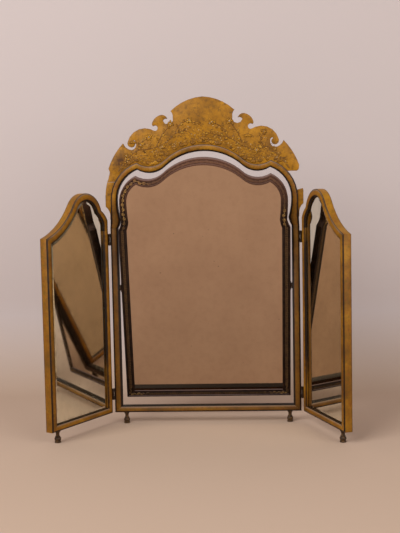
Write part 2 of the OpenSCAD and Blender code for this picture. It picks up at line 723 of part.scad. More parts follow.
function wing_pane() =
    let (t = (face_w - rebate_w + drop_in) / face_w, x = face_w * t, low = foot_h + rail_h * t)
    concat([[wing_w - x, low], [x, low]], wing_line(t));
module wing_glass(side) {
    front = wing_lip + glue;
    color(silver) on_wing(side) translate([wing_edge, 0, 0]) board(wing_pane(), front, front + glass_t);
}
module wing_backboard(side) {
    front = wing_lip + board_y;
    color(board_brown) on_wing(side) translate([wing_edge, 0, 0]) board(wing_pane(), front, front + board_t);
}
module wing_backboard_pins(side) {
    color(iron) on_wing(side) translate([wing_edge, 0, 0]) {
        at_wing_nails(face_w - rebate_w, -1) nail();
        at_wing_nails(wing_w - face_w + rebate_w, 1) nail();
    }
}
module wing_foot(side) {
    color(bronze) on_wing(side) translate([wing_end - wing_foot_in, axis_y, 0]) foot();
}

set_down() stand_stile(left);  // stand_stile_left
set_down() stand_stile(right);  // stand_stile_right
set_down() stand_bottom_rail();
set_down() stand_arch_crown();
set_down() stand_arch_shoulder(left);  // stand_arch_left
set_down() stand_arch_shoulder(right);  // stand_arch_right
set_down() crest_board();
set_down() crest_ear(left);  // crest_ear_left
set_down() crest_ear(right);  // crest_ear_right
set_down() crest_screws();
set_down() stand_foot(left);  // stand_foot_left
set_down() stand_foot(right);  // stand_foot_right
set_down() pivot_plate(left);  // pivot_plate_left
set_down() pivot_plate(right);  // pivot_plate_right
set_down() pivot_pin(left);  // pivot_pin_left
set_down() pivot_pin(right);  // pivot_pin_right
set_down() pivot_washer(left);  // pivot_washer_left
set_down() pivot_washer(right);  // pivot_washer_right
set_down() pivot_plate_screws();
set_down() swing_stile(left);  // swing_stile_left
set_down() swing_stile(right);  // swing_stile_right
set_down() swing_bottom_rail();
set_down() swing_arch_crown();
set_down() swing_arch_shoulder(left);  // swing_arch_left
set_down() swing_arch_shoulder(right);  // swing_arch_right
set_down() centre_glass();
set_down() centre_backboard();
set_down() centre_backboard_pins();
set_down() pivot_socket(left);  // pivot_socket_left
set_down() pivot_socket(right);  // pivot_socket_right
set_down() pivot_socket_screws();
set_down() stand_leaf(left, upper_hinge_h);  // hinge_left_upper_stand_leaf
set_down() wing_leaf(left, upper_hinge_h);  // hinge_left_upper_wing_leaf
set_down() hinge_pin(left, upper_hinge_h);  // hinge_left_upper_pin
set_down() stand_leaf(left, lower_hinge_h);  // hinge_left_lower_stand_leaf
set_down() wing_leaf(left, lower_hinge_h);  // hinge_left_lower_wing_leaf
set_down() hinge_pin(left, lower_hinge_h);  // hinge_left_lower_pin
set_down() stand_leaf(right, upper_hinge_h);  // hinge_right_upper_stand_leaf
set_down() wing_leaf(right, upper_hinge_h);  // hinge_right_upper_wing_leaf
set_down() hinge_pin(right, upper_hinge_h);  // hinge_right_upper_pin
set_down() stand_leaf(right, lower_hinge_h);  // hinge_right_lower_stand_leaf
set_down() wing_leaf(right, lower_hinge_h);  // hinge_right_lower_wing_leaf
set_down() hinge_pin(right, lower_hinge_h);  // hinge_right_lower_pin
set_down() hinge_screws_stand();
set_down() hinge_screws_wing(left);  // hinge_screws_wing_left
set_down() hinge_screws_wing(right);  // hinge_screws_wing_right
set_down() wing_hinge_stile(left);  // wing_left_hinge_stile
set_down() wing_outer_stile(left);  // wing_left_outer_stile
set_down() wing_bottom_rail(left);  // wing_left_bottom_rail
set_down() wing_arch(left);  // wing_left_arch
set_down() wing_glass(left);  // wing_left_glass
set_down() wing_backboard(left);  // wing_left_backboard
set_down() wing_backboard_pins(left);  // wing_left_backboard_pins
set_down() wing_foot(left);  // wing_left_foot
set_down() wing_hinge_stile(right);  // wing_right_hinge_stile
set_down() wing_outer_stile(right);  // wing_right_outer_stile
set_down() wing_bottom_rail(right);  // wing_right_bottom_rail
set_down() wing_arch(right);  // wing_right_arch
set_down() wing_glass(right);  // wing_right_glass
set_down() wing_backboard(right);  // wing_right_backboard
set_down() wing_backboard_pins(right);  // wing_right_backboard_pins
set_down() wing_foot(right);  // wing_right_foot
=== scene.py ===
# %% [markdown]
# # Table mirror: lacquer, carving and silvered glass
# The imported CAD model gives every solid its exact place, so this script never moves one. It adds what the
# solids leave out: the finishes, the carved band of the swinging frame, the bevels of the wing glasses and
# the raised decoration on the crest. Everything is in metres, in the frame of the CAD model.

# %% Load the fixed frame
import bpy
import math
import random
from mathutils import Matrix, Vector


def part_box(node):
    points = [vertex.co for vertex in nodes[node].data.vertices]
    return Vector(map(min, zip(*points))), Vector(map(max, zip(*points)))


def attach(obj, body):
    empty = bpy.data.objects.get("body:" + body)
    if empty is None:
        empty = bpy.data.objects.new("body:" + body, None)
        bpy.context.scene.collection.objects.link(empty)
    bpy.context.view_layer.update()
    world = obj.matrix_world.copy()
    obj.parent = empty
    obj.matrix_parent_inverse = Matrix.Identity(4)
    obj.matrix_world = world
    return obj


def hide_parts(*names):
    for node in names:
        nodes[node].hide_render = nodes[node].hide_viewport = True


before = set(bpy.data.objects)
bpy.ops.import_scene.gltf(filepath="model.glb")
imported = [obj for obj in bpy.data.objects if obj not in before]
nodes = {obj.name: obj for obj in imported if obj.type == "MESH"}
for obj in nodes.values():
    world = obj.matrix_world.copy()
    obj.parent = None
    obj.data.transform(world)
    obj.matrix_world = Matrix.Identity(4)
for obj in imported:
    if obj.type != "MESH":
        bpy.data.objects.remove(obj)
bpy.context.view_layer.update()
MM = 0.001
scene = bpy.context.scene

# %% [markdown]
# ## The sizes that the drawing shares with the solids
# The carving and the bevels follow the same outlines as the wood they lie on, so the few sizes behind those
# outlines are repeated here in millimetres, as they stand in the CAD source. A point is placed in the
# drawing's own coordinates, where x = 0 is the middle of the centre frame and y = 0 its front, and one
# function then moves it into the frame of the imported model.

# %% Sizes and places, in millimetres
HALF_W, FRAME_D, FACE_W, RAIL_H, FOOT_H = 228, 20.5, 18, 15.5, 28
CROWN_H, CREST_FRONT = 677.6, 8.1
PIVOT_H, TILT, SWING_FRONT, SWING_FOOT, SPRING_H = 334.5, 12.5, 1.25, 47.5, 480.1
SWING_X, SWING_FACE, SWING_RAIL = 205.2, 20, 17
HINGE_X, WING_W, WING_H, SWINGS = 230.3, 225, 566, {"left": 60.6, "right": 70}
low_box, high_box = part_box("stand_bottom_rail")
MIDDLE = Vector(((low_box.x + high_box.x) / 2, high_box.y - FRAME_D * MM, 0))
print("the centre frame's front is at", tuple(round(v, 4) for v in MIDDLE))


def on_stand(x, y, z):
    return MIDDLE + Vector((x, y, z)) * MM


def on_swing(x, y, z):
    pivot = Vector((0, FRAME_D / 2, PIVOT_H))
    lean = Matrix.Rotation(math.radians(TILT), 3, "X")
    return on_stand(*(pivot + lean @ (Vector((x, y, z)) - pivot)))


def wing_axes(side):
    sign = -1 if side == "left" else 1
    angle = math.radians(SWINGS[side])
    out = Vector((sign * math.cos(angle), -math.sin(angle), 0))
    back = Vector((sign * math.sin(angle), math.cos(angle), 0))
    return sign, out, back


def on_wing(side, x, y, z):
    sign, out, back = wing_axes(side)
    x = x + HINGE_X - HALF_W
    return on_stand(sign * HINGE_X, 0, z) + (out * x + back * y) * MM


# %% [markdown]
# ## Camera
# The camera stands where the photographer stood: a little over two metres in front of the mirror, to the
# right of its middle and lower than its arch, looking slightly down. Its place, turn and lens were worked
# out from the photograph by fitting the known lengths of the frame. A render can be laid over the picture.

# %% The photographer's camera
CAMERA_AT = Vector((0.10646, -2.21988, 0.56727))
yaw, dip, roll = math.radians(-2.576), math.radians(4.568), math.radians(-1.132)
forward = Vector((math.sin(yaw) * math.cos(dip), math.cos(yaw) * math.cos(dip), -math.sin(dip)))
level = Vector((math.cos(yaw), -math.sin(yaw), 0))
upright = level.cross(forward)
right = level * math.cos(roll) + upright * math.sin(roll)
up = upright * math.cos(roll) - level * math.sin(roll)
camera = bpy.data.objects.new("camera", bpy.data.cameras.new("camera"))
camera.data.lens = 64.17
camera.matrix_world = Matrix.Translation(CAMERA_AT) @ Matrix((right, up, -forward)).transposed().to_4x4()
scene.collection.objects.link(camera)
scene.camera = camera
scene.view_settings.view_transform = "Standard"
print("camera", camera.data.lens, "mm lens")

# %% [markdown]
# ## Building a material from nodes
# Blender's node trees are easiest to read when each node is one line: what it is, its settings, and what
# goes into it. One small function does that for every kind of node. It hands back the output that the next
# node needs: the first, unless the settings name another one. Colours are written as the hex values that a
# screen shows, and one function turns them into the linear values that light needs. A material here starts
# from one colour and covers it with layers: each Mix node lays a shade where its amount is high.


# %% Colours and one function for nodes
def linear(code):
    parts = [int(code[i : i + 2], 16) / 255 for i in (1, 3, 5)]
    return (*[p / 12.92 if p <= 0.04045 else ((p + 0.055) / 1.055) ** 2.4 for p in parts], 1.0)


def plug(tree, node, **sockets):
    """Set or link a node's inputs. A socket is i0, i1 and so on, or its name."""
    for name, value in sockets.items():
        key = int(name[1:]) if name[0] == "i" and name[1:].isdigit() else name.replace("_", " ")
        if isinstance(value, bpy.types.NodeSocket):
            tree.links.new(value, node.inputs[key])
        else:
            node.inputs[key].default_value = value


def add(tree, kind, settings=None, **sockets):
    """One node. The settings may also hold the stops of a ramp, and out, the output to hand back."""
    made = tree.nodes.new("ShaderNode" + kind)
    settings = dict(settings or {})
    stops, out = settings.pop("stops", []), settings.pop("out", 0)
    for name, value in settings.items():
        setattr(made, name, value)
    for i, (place, shade) in enumerate(stops):
        stop = made.color_ramp.elements[i] if i < 2 else made.color_ramp.elements.new(place)
        stop.position = place
        stop.color = linear(shade)
    plug(tree, made, **sockets)
    return made.outputs[out]


COLOUR = {"data_type": "RGBA", "out": 2}
TIMES = {"operation": "MULTIPLY"}
DOT = {"operation": "DOT_PRODUCT", "out": "Value"}
UPWARDS = {"out": 2}
print("settings used often:", COLOUR, TIMES, DOT, UPWARDS)


# %% New materials and new pieces
def new_material(name, **sockets):
    """A material, its tree, its shader, and the place of a point, which its patterns follow."""
    made = bpy.data.materials.new(name)
    made.use_nodes = True
    tree = made.node_tree
    shader = tree.nodes["Principled BSDF"]
    plug(tree, shader, **sockets)
    return made, tree, shader, add(tree, "TexCoord", {"out": "Object"})


def wear(material, *names):
    """Give these CAD solids a material, on the object, so that their meshes stay as packed."""
    for name in names:
        for slot in nodes[name].material_slots:
            slot.link = "OBJECT"
            slot.material = material
    print(material.name, "on", len(names), "solids")


def new_object(name, verts, faces, material, **numbers):
    """A mesh in the scene. Each list of numbers is kept on its points, for the material to read."""
    mesh = bpy.data.meshes.new(name)
    mesh.from_pydata(verts, [], faces)
    for label, values in numbers.items():
        mesh.attributes.new(label, "FLOAT", "POINT").data.foreach_set("value", values)
    mesh.materials.append(material)
    made = bpy.data.objects.new(name, mesh)
    scene.collection.objects.link(made)
    print(name, "of", len(verts), "points and", len(faces), "faces")
    return made


# %% [markdown]
# ## Floor, backdrop and light
# The mirror stands on a plain pale floor that runs up into a plain wall, as in a studio: one sheet of
# painted paper, warmer below than above. Two large soft lamps from the front and a little light from all
# round give even light, at a level at which a colour comes out as it is written. The sky is brighter where
# the camera sees it, which changes the background alone.

# %% Floor and wall in one bent sheet
paper, tree, shader, place = new_material("painted backdrop paper", Roughness=0.9)
height = add(tree, "SeparateXYZ", UPWARDS, i0=place)
raised = add(tree, "MapRange", Value=height, From_Min=0.0, From_Max=0.2)
tone = add(tree, "Mix", COLOUR, i0=raised, i6=linear("#C4AA95"), i7=linear("#CFC3C1"))
plug(tree, shader, Base_Color=tone)
# From behind the paper is clear, so that the back of the mirror can be looked at
away = add(tree, "NewGeometry", {"out": "Backfacing"})
clear = add(tree, "BsdfTransparent")
one_sided = add(tree, "MixShader", i0=away, i1=shader.outputs[0], i2=clear)
plug(tree, tree.nodes["Material Output"], Surface=one_sided)
WALL_Y, WALL_TOP, FLOOR_FRONT, SHEET_W, BEND, BEND_STEPS = 0.62, 4.0, -4.0, 7.0, 0.25, 12
profile = [(FLOOR_FRONT, 0)]
for i in range(BEND_STEPS + 1):
    a = math.pi / 2 * i / BEND_STEPS
    profile.append((WALL_Y - BEND * (1 - math.sin(a)), BEND * (1 - math.cos(a))))
profile.append((WALL_Y, WALL_TOP))
verts = [(x, y, z) for y, z in profile for x in (-SHEET_W / 2, SHEET_W / 2)]
faces = [(2 * i, 2 * i + 1, 2 * i + 3, 2 * i + 2) for i in range(len(profile) - 1)]
backdrop = new_object("backdrop", verts, faces, paper)
backdrop.data.shade_smooth()

# %% Lamps and sky
LAMPS = [("window_lamp", (-1.7, -2.3, 2.3), 2.2, 84), ("fill_lamp", (2.0, -2.2, 1.6), 2.4, 40)]
LIT_PLACE = Vector((0, 0, 0.4))
for name, place, size, watts in LAMPS:
    lamp = bpy.data.objects.new(name, bpy.data.lights.new(name, "AREA"))
    lamp.data.size = size
    lamp.data.energy = watts
    lamp.location = place
    lamp.rotation_euler = (LIT_PLACE - Vector(place)).to_track_quat("-Z", "Y").to_euler()
    scene.collection.objects.link(lamp)
scene.world = bpy.data.worlds.new("studio")
scene.world.use_nodes = True
tree = scene.world.node_tree
seen = add(tree, "LightPath", {"out": "Is Camera Ray"})
brightness = add(tree, "MapRange", Value=seen, To_Min=0.39, To_Max=1.0)
plug(tree, tree.nodes["Background"], Color=linear("#DCD2CC"), Strength=brightness)

# %% [markdown]
# ## Smooth rounded surfaces on the CAD solids
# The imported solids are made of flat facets, and their sharp corners would look machine cut. Three modifiers
# help without touching the meshes: Weld joins the facets, Bevel rubs the corners down by a fraction of a
# millimetre, as sanding under lacquer does, and a small geometry node group shades gentle bends smooth.


# %% A node group that shades by angle, and modifiers that use it
def smoothing_group(limit):
    group = bpy.data.node_groups.new("smooth_by_angle", "GeometryNodeTree")
    group.interface.new_socket("Geometry", in_out="INPUT", socket_type="NodeSocketGeometry")
    group.interface.new_socket("Geometry", in_out="OUTPUT", socket_type="NodeSocketGeometry")
    kinds = ("NodeGroupInput", "GeometryNodeRemoveAttribute", "GeometryNodeSetShadeSmooth",
             "GeometryNodeSetShadeSmooth", "NodeGroupOutput")
    chain = [group.nodes.new(kind) for kind in kinds]
    chain[1].inputs["Name"].default_value = "custom_normal"
    chain[2].domain, chain[3].domain = "FACE", "EDGE"
    chain[2].inputs["Shade Smooth"].default_value = True
    chain[3].inputs["Shade Smooth"].default_value = False
    angle = group.nodes.new("GeometryNodeInputMeshEdgeAngle")
    sharp = group.nodes.new("FunctionNodeCompare")
    sharp.operation = "GREATER_THAN"
    sharp.inputs[1].default_value = math.radians(limit)
    group.links.new(angle.outputs[0], sharp.inputs[0])
    group.links.new(sharp.outputs[0], chain[3].inputs["Selection"])
    for a, b in zip(chain, chain[1:]):
        group.links.new(a.outputs[0], b.inputs[0])
    return group


SMOOTH_BELOW, RUBBED_ABOVE = 32, 40
smooth_group = smoothing_group(SMOOTH_BELOW)


def soften(name, rounding):
    """Weld, rub down and smooth one solid. The rounding is in millimetres, and 0 leaves corners sharp."""
    piece = nodes[name]
    piece.modifiers.new("weld", "WELD").merge_threshold = 0.01 * MM
    if rounding:
        bevel = piece.modifiers.new("rub_down", "BEVEL")
        bevel.width = rounding * MM
        bevel.segments = 2
        bevel.angle_limit = math.radians(RUBBED_ABOVE)
    piece.modifiers.new("smooth", "NODES").node_group = smooth_group


ROUNDING = {"stile": 0.3, "rail": 0.3, "arch": 0.3, "crest_board": 0.8, "crest_ear": 0.8}
for name in nodes:
    soften(name, max([r for word, r in ROUNDING.items() if word in name], default=0))
print("softened", len(nodes), "solids")

# %% [markdown]
# ## Gold lacquer
# The stand and the wings are beech, coated with gesso and many coats of tinted varnish in imitation of
# Asian lacquer. A century has mottled the ochre with olive and brown, drawn a fine craquelure, and worn
# the ridges down to the red-brown ground. Shade is painted near-black into the quirks, and the inner edges
# are made near-black too.
# The shader finds those places from the shape itself: how deep a point lies behind the front of its frame,
# and which way the surface faces. Noise has features of about one divided by its scale, in metres, so a
# size in millimetres gives the scale as 1000 / size.


# %% The varnish: mottled, cracked and darker towards the bottom
def old_varnish(tree, place, darker_below):
    """Its colour, its patches and its relief. The last argument says how much darker its lower part is made.
    """
    # Clouds of 55 mm, patches of 9 mm, grain of 1.2 mm, and wavering cracks about 7 mm apart
    clouds = add(tree, "TexNoise", Scale=1000 / 55, Detail=4.0, Roughness=0.6, Vector=place)
    patches = add(tree, "TexNoise", Scale=1000 / 9, Detail=3.0, Roughness=0.62, Vector=place)
    grain = add(tree, "TexNoise", Scale=1000 / 1.2, Detail=2.0, Vector=place)
    drift = add(tree, "TexNoise", {"out": 1}, Scale=1000 / 7, Vector=place)
    shaken = add(tree, "VectorMath", {"operation": "MULTIPLY_ADD"}, i0=drift, i1=(0.004,) * 3, i2=place)
    cells = add(tree, "TexVoronoi", {"feature": "DISTANCE_TO_EDGE"}, Scale=1000 / 7, Vector=shaken)
    cracks = add(tree, "MapRange", Value=cells, From_Min=0.035, From_Max=0.0, To_Max=0.4)
    stops = [(0.3, "#6E4606"), (0.72, "#B27C14"), (0.5, "#93600A")]
    colour = add(tree, "ValToRGB", {"stops": stops}, i0=clouds)
    olive = add(tree, "MapRange", Value=patches, From_Min=0.5, From_Max=0.72, To_Max=0.6)
    rust = add(tree, "MapRange", Value=patches, From_Min=0.44, From_Max=0.3, To_Max=0.6)
    height = add(tree, "SeparateXYZ", UPWARDS, i0=place)
    # Darker towards the bottom: the colour is mixed with dark brown, growing from 0.53 m down to 0.4 m
    low = add(tree, "MapRange", Value=height, From_Min=0.53, From_Max=0.4, To_Max=darker_below)
    for amount, shade in ((olive, "#66500F"), (rust, "#7E3D0C"), (cracks, "#3A1E0A"), (low, "#321C08")):
        colour = add(tree, "Mix", COLOUR, i0=amount, i6=colour, i7=linear(shade))
    relief = add(tree, "Math", {"operation": "MULTIPLY_ADD"}, i0=cracks, i1=-1.2, i2=grain)
    return colour, patches, relief


# %% [markdown]
# ### Painted shade in the quirks, and dark inner sides
# Shade is painted near-black into the quirks of the moulding: what faces forwards and lies a little deeper
# than the ridges. What faces the middle of the frame is made near-black too, and, more faintly, the back
# edge of the sides.

# %% Painted shade in the quirks, and dark sides, found by depth and direction
def quirk_shade_and_dark_sides(tree, place, facing, depth, back, centre):
    """1 where shade is painted in the quirks or the sides are dark, 0 elsewhere."""
    # Painted shade: quirks that face forwards and lie a little deeper than the ridges are made near-black
    to_front = add(tree, "VectorMath", DOT, i0=facing, i1=back)
    to_front = add(tree, "MapRange", Value=to_front, From_Min=-0.15, From_Max=-0.4)
    behind = add(tree, "MapRange", Value=depth, From_Min=0.9 * MM, From_Max=1.3 * MM)
    hollow = add(tree, "Math", {"operation": "LESS_THAN"}, i0=depth, i1=3.6 * MM)
    hollow = add(tree, "Math", TIMES, i0=hollow, i1=to_front)
    # The sides that face the middle of the frame are made near-black
    towards = add(tree, "VectorMath", {"operation": "SUBTRACT"}, i0=centre, i1=place)
    towards = add(tree, "VectorMath", {"operation": "NORMALIZE"}, i0=towards)
    inner = add(tree, "VectorMath", DOT, i0=towards, i1=facing)
    inner = add(tree, "MapRange", Value=inner, From_Min=0.3, From_Max=0.5)
    # The back edge of the sides is made faintly dark
    edge = add(tree, "MapRange", Value=depth, From_Min=18.7 * MM, From_Max=19.9 * MM, To_Max=0.7)
    shade_and_dark_sides = add(tree, "Math", {"operation": "MAXIMUM"}, i0=hollow, i1=inner)
    shade_and_dark_sides = add(tree, "Math", TIMES, i0=shade_and_dark_sides, i1=behind)
    shade_and_dark_sides = add(tree, "Math", {"operation": "MAXIMUM"}, i0=shade_and_dark_sides, i1=edge)
    return add(tree, "Math", TIMES, i0=shade_and_dark_sides, i1=0.96)


# %% [markdown]
# ### The layers together
# The varnish comes first, then the wear on the ridges, the painted shade in the quirks with the dark inner
# sides, and a painted highlight on the tops that face upwards. Each frame gets a material of its own,
# because each faces its own way.

# %% Lacquer for a frame that faces one way
def gold_lacquer(name, front, back, centre, darker_below):
    """front, back and centre say where the frame's face lies."""
    made, tree, shader, place = new_material(name, IOR=1.5, Specular_IOR_Level=0.28)
    facing = add(tree, "TexCoord", {"out": "Normal"})
    inwards = add(tree, "VectorMath", {"operation": "SUBTRACT"}, i0=place, i1=front)
    depth = add(tree, "VectorMath", DOT, i0=inwards, i1=back)
    colour, patches, relief = old_varnish(tree, place, darker_below)
    # The ridges of the rounded face, over half a millimetre down, are worn to the ground in patches
    ridge = add(tree, "MapRange", Value=depth, From_Min=0.4 * MM, From_Max=0.9 * MM)
    bare = add(tree, "MapRange", Value=patches, From_Min=0.38, From_Max=0.62, To_Min=0.1, To_Max=0.85)
    shallow = add(tree, "Math", {"operation": "LESS_THAN"}, i0=depth, i1=3.1 * MM)
    ridge = add(tree, "Math", TIMES, i0=ridge, i1=bare)
    ridge = add(tree, "Math", TIMES, i0=ridge, i1=shallow)
    shade_and_dark_sides = quirk_shade_and_dark_sides(tree, place, facing, depth, back, centre)
    # Painted highlight: surfaces that face upwards are made paler, as if lit from above
    lit_tops = add(tree, "SeparateXYZ", UPWARDS, i0=facing)
    lit_tops = add(tree, "MapRange", Value=lit_tops, From_Min=0.3, From_Max=0.75, To_Max=0.8)
    lit_tops = add(tree, "Math", TIMES, i0=lit_tops, i1=shallow)
    # Wear on the ridges, then painted shade and dark sides, then the painted highlight on upward tops
    for amount, shade in ((ridge, "#4E260E"), (shade_and_dark_sides, "#140B06"), (lit_tops, "#B8926F")):
        colour = add(tree, "Mix", COLOUR, i0=amount, i6=colour, i7=linear(shade))
    gloss = add(tree, "MapRange", Value=patches, To_Min=0.4, To_Max=0.6)
    bump = add(tree, "Bump", Strength=0.25, Distance=0.4 * MM, Height=relief)
    plug(tree, shader, Base_Color=colour, Roughness=gloss, Normal=bump)
    return made


# %% Lacquer on the stand and the wings
FRAME_PARTS = ("stile_left", "stile_right", "bottom_rail", "arch_crown", "arch_left", "arch_right")
WING_PARTS = ("hinge_stile", "outer_stile", "bottom_rail", "arch")
STAND_MIDDLE_H, WING_MIDDLE_H, STAND_DARKER_BELOW, WING_DARKER_BELOW = 400, 320, 0.5, 0.15
lacquer = gold_lacquer("gold lacquer on beech, stand", on_stand(0, 0, 0), (0, 1, 0),
                       on_stand(0, 0, STAND_MIDDLE_H), STAND_DARKER_BELOW)
wear(lacquer, *["stand_" + part for part in FRAME_PARTS])
for side in ("left", "right"):
    sign, out, back = wing_axes(side)
    middle = on_wing(side, WING_W / 2, 10, WING_MIDDLE_H)
    lacquer = gold_lacquer("gold lacquer on beech, " + side + " wing", on_wing(side, 0, 0, 0), back,
                           middle, WING_DARKER_BELOW)
    wear(lacquer, *[f"wing_{side}_{part}" for part in WING_PARTS])

# %% [markdown]
# ## Crest lacquer
# The crest is a flat board, so it has no quirks to shade. Its lacquer is cleaner than the frame's, with
# brown clouds in it and a worn patch on its left shoulder. Shade is painted as a dark line along its sawn
# edges, and a highlight is painted on the edges that face upwards, in the scrolls. A Bevel node finds where
# the front ends: near an edge its rounded normal leaves the flat one.


# %% Varnish on the crest, with its worn patch
def crest_varnish(tree, place):
    """Its colour, its patches and its grain."""
    clouds = add(tree, "TexNoise", Scale=1000 / 38, Detail=5.0, Roughness=0.65, Vector=place)
    patches = add(tree, "TexNoise", Scale=1000 / 7, Detail=4.0, Roughness=0.65, Vector=place)
    grain = add(tree, "TexNoise", Scale=1000 / 1.1, Detail=2.0, Vector=place)
    stops = [(0.3, "#7C5106"), (0.7, "#B77F12"), (0.5, "#A06C0A")]
    colour = add(tree, "ValToRGB", {"stops": stops}, i0=clouds)
    soot = add(tree, "MapRange", Value=patches, From_Min=0.5, From_Max=0.72, To_Max=0.75)
    sparks = add(tree, "MapRange", Value=grain, From_Min=0.55, From_Max=0.75, To_Max=0.4)
    # The patch is about 40 mm wide
    spot = on_stand(-197, 8, 640)
    worn = add(tree, "VectorMath", {"operation": "DISTANCE", "out": "Value"}, i0=place, i1=spot)
    worn = add(tree, "MapRange", Value=worn, From_Min=30 * MM, From_Max=8 * MM, To_Max=1.6)
    worn = add(tree, "Math", TIMES, i0=worn, i1=patches)
    for amount, shade in ((soot, "#553A0D"), (sparks, "#5A340E"), (worn, "#4E2E10")):
        colour = add(tree, "Mix", COLOUR, i0=amount, i6=colour, i7=linear(shade))
    return colour, patches, grain


# %% Lacquer for the flat crest and its edges
def crest_lacquer():
    made, tree, shader, place = new_material("gold lacquer on flat beech", IOR=1.5, Specular_IOR_Level=0.28)
    facing = add(tree, "TexCoord", {"out": "Normal"})
    colour, patches, grain = crest_varnish(tree, place)
    # Painted shade: a dark line 1.4 mm wide along the sawn outline
    rounded = add(tree, "Bevel", {"samples": 6}, Radius=1.4 * MM)
    flat = add(tree, "NewGeometry", {"out": "Normal"})
    rim = add(tree, "VectorMath", DOT, i0=rounded, i1=flat)
    rim = add(tree, "MapRange", Value=rim, From_Min=0.999, From_Max=0.93, To_Max=0.8)
    # Painted shade on the rounded edges that turn away from the front
    edge = add(tree, "SeparateXYZ", {"out": 1}, i0=facing)
    edge = add(tree, "MapRange", Value=edge, From_Min=-0.97, From_Max=-0.7)
    # Painted highlight: the edges that face upwards, in the scrolls, are made paler
    lit_tops = add(tree, "SeparateXYZ", UPWARDS, i0=facing)
    lit_tops = add(tree, "MapRange", Value=lit_tops, From_Min=0.75, From_Max=0.98, To_Max=0.7)
    for amount, shade in ((rim, "#3E260C"), (edge, "#4C2F10"), (lit_tops, "#B58B6A")):
        colour = add(tree, "Mix", COLOUR, i0=amount, i6=colour, i7=linear(shade))
    gloss = add(tree, "MapRange", Value=patches, To_Min=0.38, To_Max=0.58)
    bump = add(tree, "Bump", Strength=0.2, Distance=0.3 * MM, Height=grain)
    plug(tree, shader, Base_Color=colour, Roughness=gloss, Normal=bump)
    return made


wear(crest_lacquer(), "crest_board", "crest_ear_left", "crest_ear_right")

# %% [markdown]
# ## Dark carved wood
# The swinging frame is stained dark brown, with the tops of its carving rubbed lighter by a century of
# dusting, and with the last flecks of gilding in the leaves of one shoulder. The carved band is a piece of
# its own, whose points carry two numbers: how high they stand and how much gilding is left on them.


# %% What the carved band adds: rubbed tops, dark hollows and gilding
def carving_layers(tree, place, colour):
    """Colour after the layers that follow the height and the gilding stored on the band's points."""
    height = add(tree, "Attribute", {"attribute_name": "height", "out": "Fac"})
    gilt = add(tree, "Attribute", {"attribute_name": "gilt", "out": "Fac"})
    rubbed = add(tree, "MapRange", Value=height, From_Min=0.5, From_Max=1.0, To_Max=0.55)
    dark = add(tree, "MapRange", Value=height, From_Min=0.4, From_Max=0.0, To_Max=0.9)
    # Flecks of gold about 3.5 mm wide, on the raised parts alone
    flecks = add(tree, "TexNoise", Scale=1000 / 3.5, Detail=3.0, Roughness=0.7, Vector=place)
    flecks = add(tree, "MapRange", Value=flecks, From_Min=0.4, From_Max=0.52)
    raised = add(tree, "MapRange", Value=height, From_Min=0.4, From_Max=0.65)
    flecks = add(tree, "Math", TIMES, i0=flecks, i1=gilt)
    flecks = add(tree, "Math", TIMES, i0=flecks, i1=raised)
    for amount, shade in ((rubbed, "#6A4A38"), (dark, "#160C07"), (flecks, "#B48B4C")):
        colour = add(tree, "Mix", COLOUR, i0=amount, i6=colour, i7=linear(shade))
    return colour


# %% Stained wood, rubbed and gilded
def carved_wood(name, gilded):
    made, tree, shader, place = new_material(name, IOR=1.5, Roughness=0.6, Specular_IOR_Level=0.12)
    facing = add(tree, "TexCoord", {"out": "Normal"})
    # Pores 1.1 mm wide, drawn out along the stiles, and patches of 12 mm
    along = add(tree, "VectorMath", TIMES, i0=place, i1=(1.0, 1.0, 0.12))
    pores = add(tree, "TexNoise", Scale=1000 / 1.1, Detail=3.0, Roughness=0.6, Vector=along)
    patches = add(tree, "TexNoise", Scale=1000 / 12, Detail=4.0, Roughness=0.6, Vector=place)
    stops = [(0.3, "#140A05"), (0.75, "#3C2618"), (0.5, "#24150D")]
    colour = add(tree, "ValToRGB", {"stops": stops}, i0=patches)
    # The crown is made paler: the colour lightens upwards from 0.5 m to 0.63 m
    height = add(tree, "SeparateXYZ", UPWARDS, i0=place)
    high = add(tree, "MapRange", Value=height, From_Min=0.5, From_Max=0.63, To_Max=0.6)
    fine = add(tree, "MapRange", Value=pores, From_Min=0.4, From_Max=0.8, To_Max=0.5)
    # Painted highlight: surfaces that face upwards are made pale lilac-grey, as if lit from above
    lit_tops = add(tree, "SeparateXYZ", UPWARDS, i0=facing)
    lit_tops = add(tree, "MapRange", Value=lit_tops, From_Min=0.2, From_Max=0.9, To_Max=0.75)
    for amount, shade in ((high, "#8A6250"), (fine, "#1C100A"), (lit_tops, "#87706B")):
        colour = add(tree, "Mix", COLOUR, i0=amount, i6=colour, i7=linear(shade))
    if gilded:
        colour = carving_layers(tree, place, colour)
    bump = add(tree, "Bump", Strength=0.3, Distance=0.3 * MM, Height=pores)
    plug(tree, shader, Base_Color=colour, Normal=bump)
    return made


swing_wood = carved_wood("dark stained beech", False)
carving_wood = carved_wood("dark stained carving with old gilding", True)
wear(swing_wood, *["swing_" + part for part in FRAME_PARTS])

# %% [markdown]
# ## Silvered glass
# Old looking glass is plate glass with silver on its back. Over the years damp creeps in from the rim and
# leaves grey-brown foxing there, and pin-prick specks in the middle. A mirror is best made as polished
# metal, because its colour then tints what it reflects, and the specks are where the metal is dull.


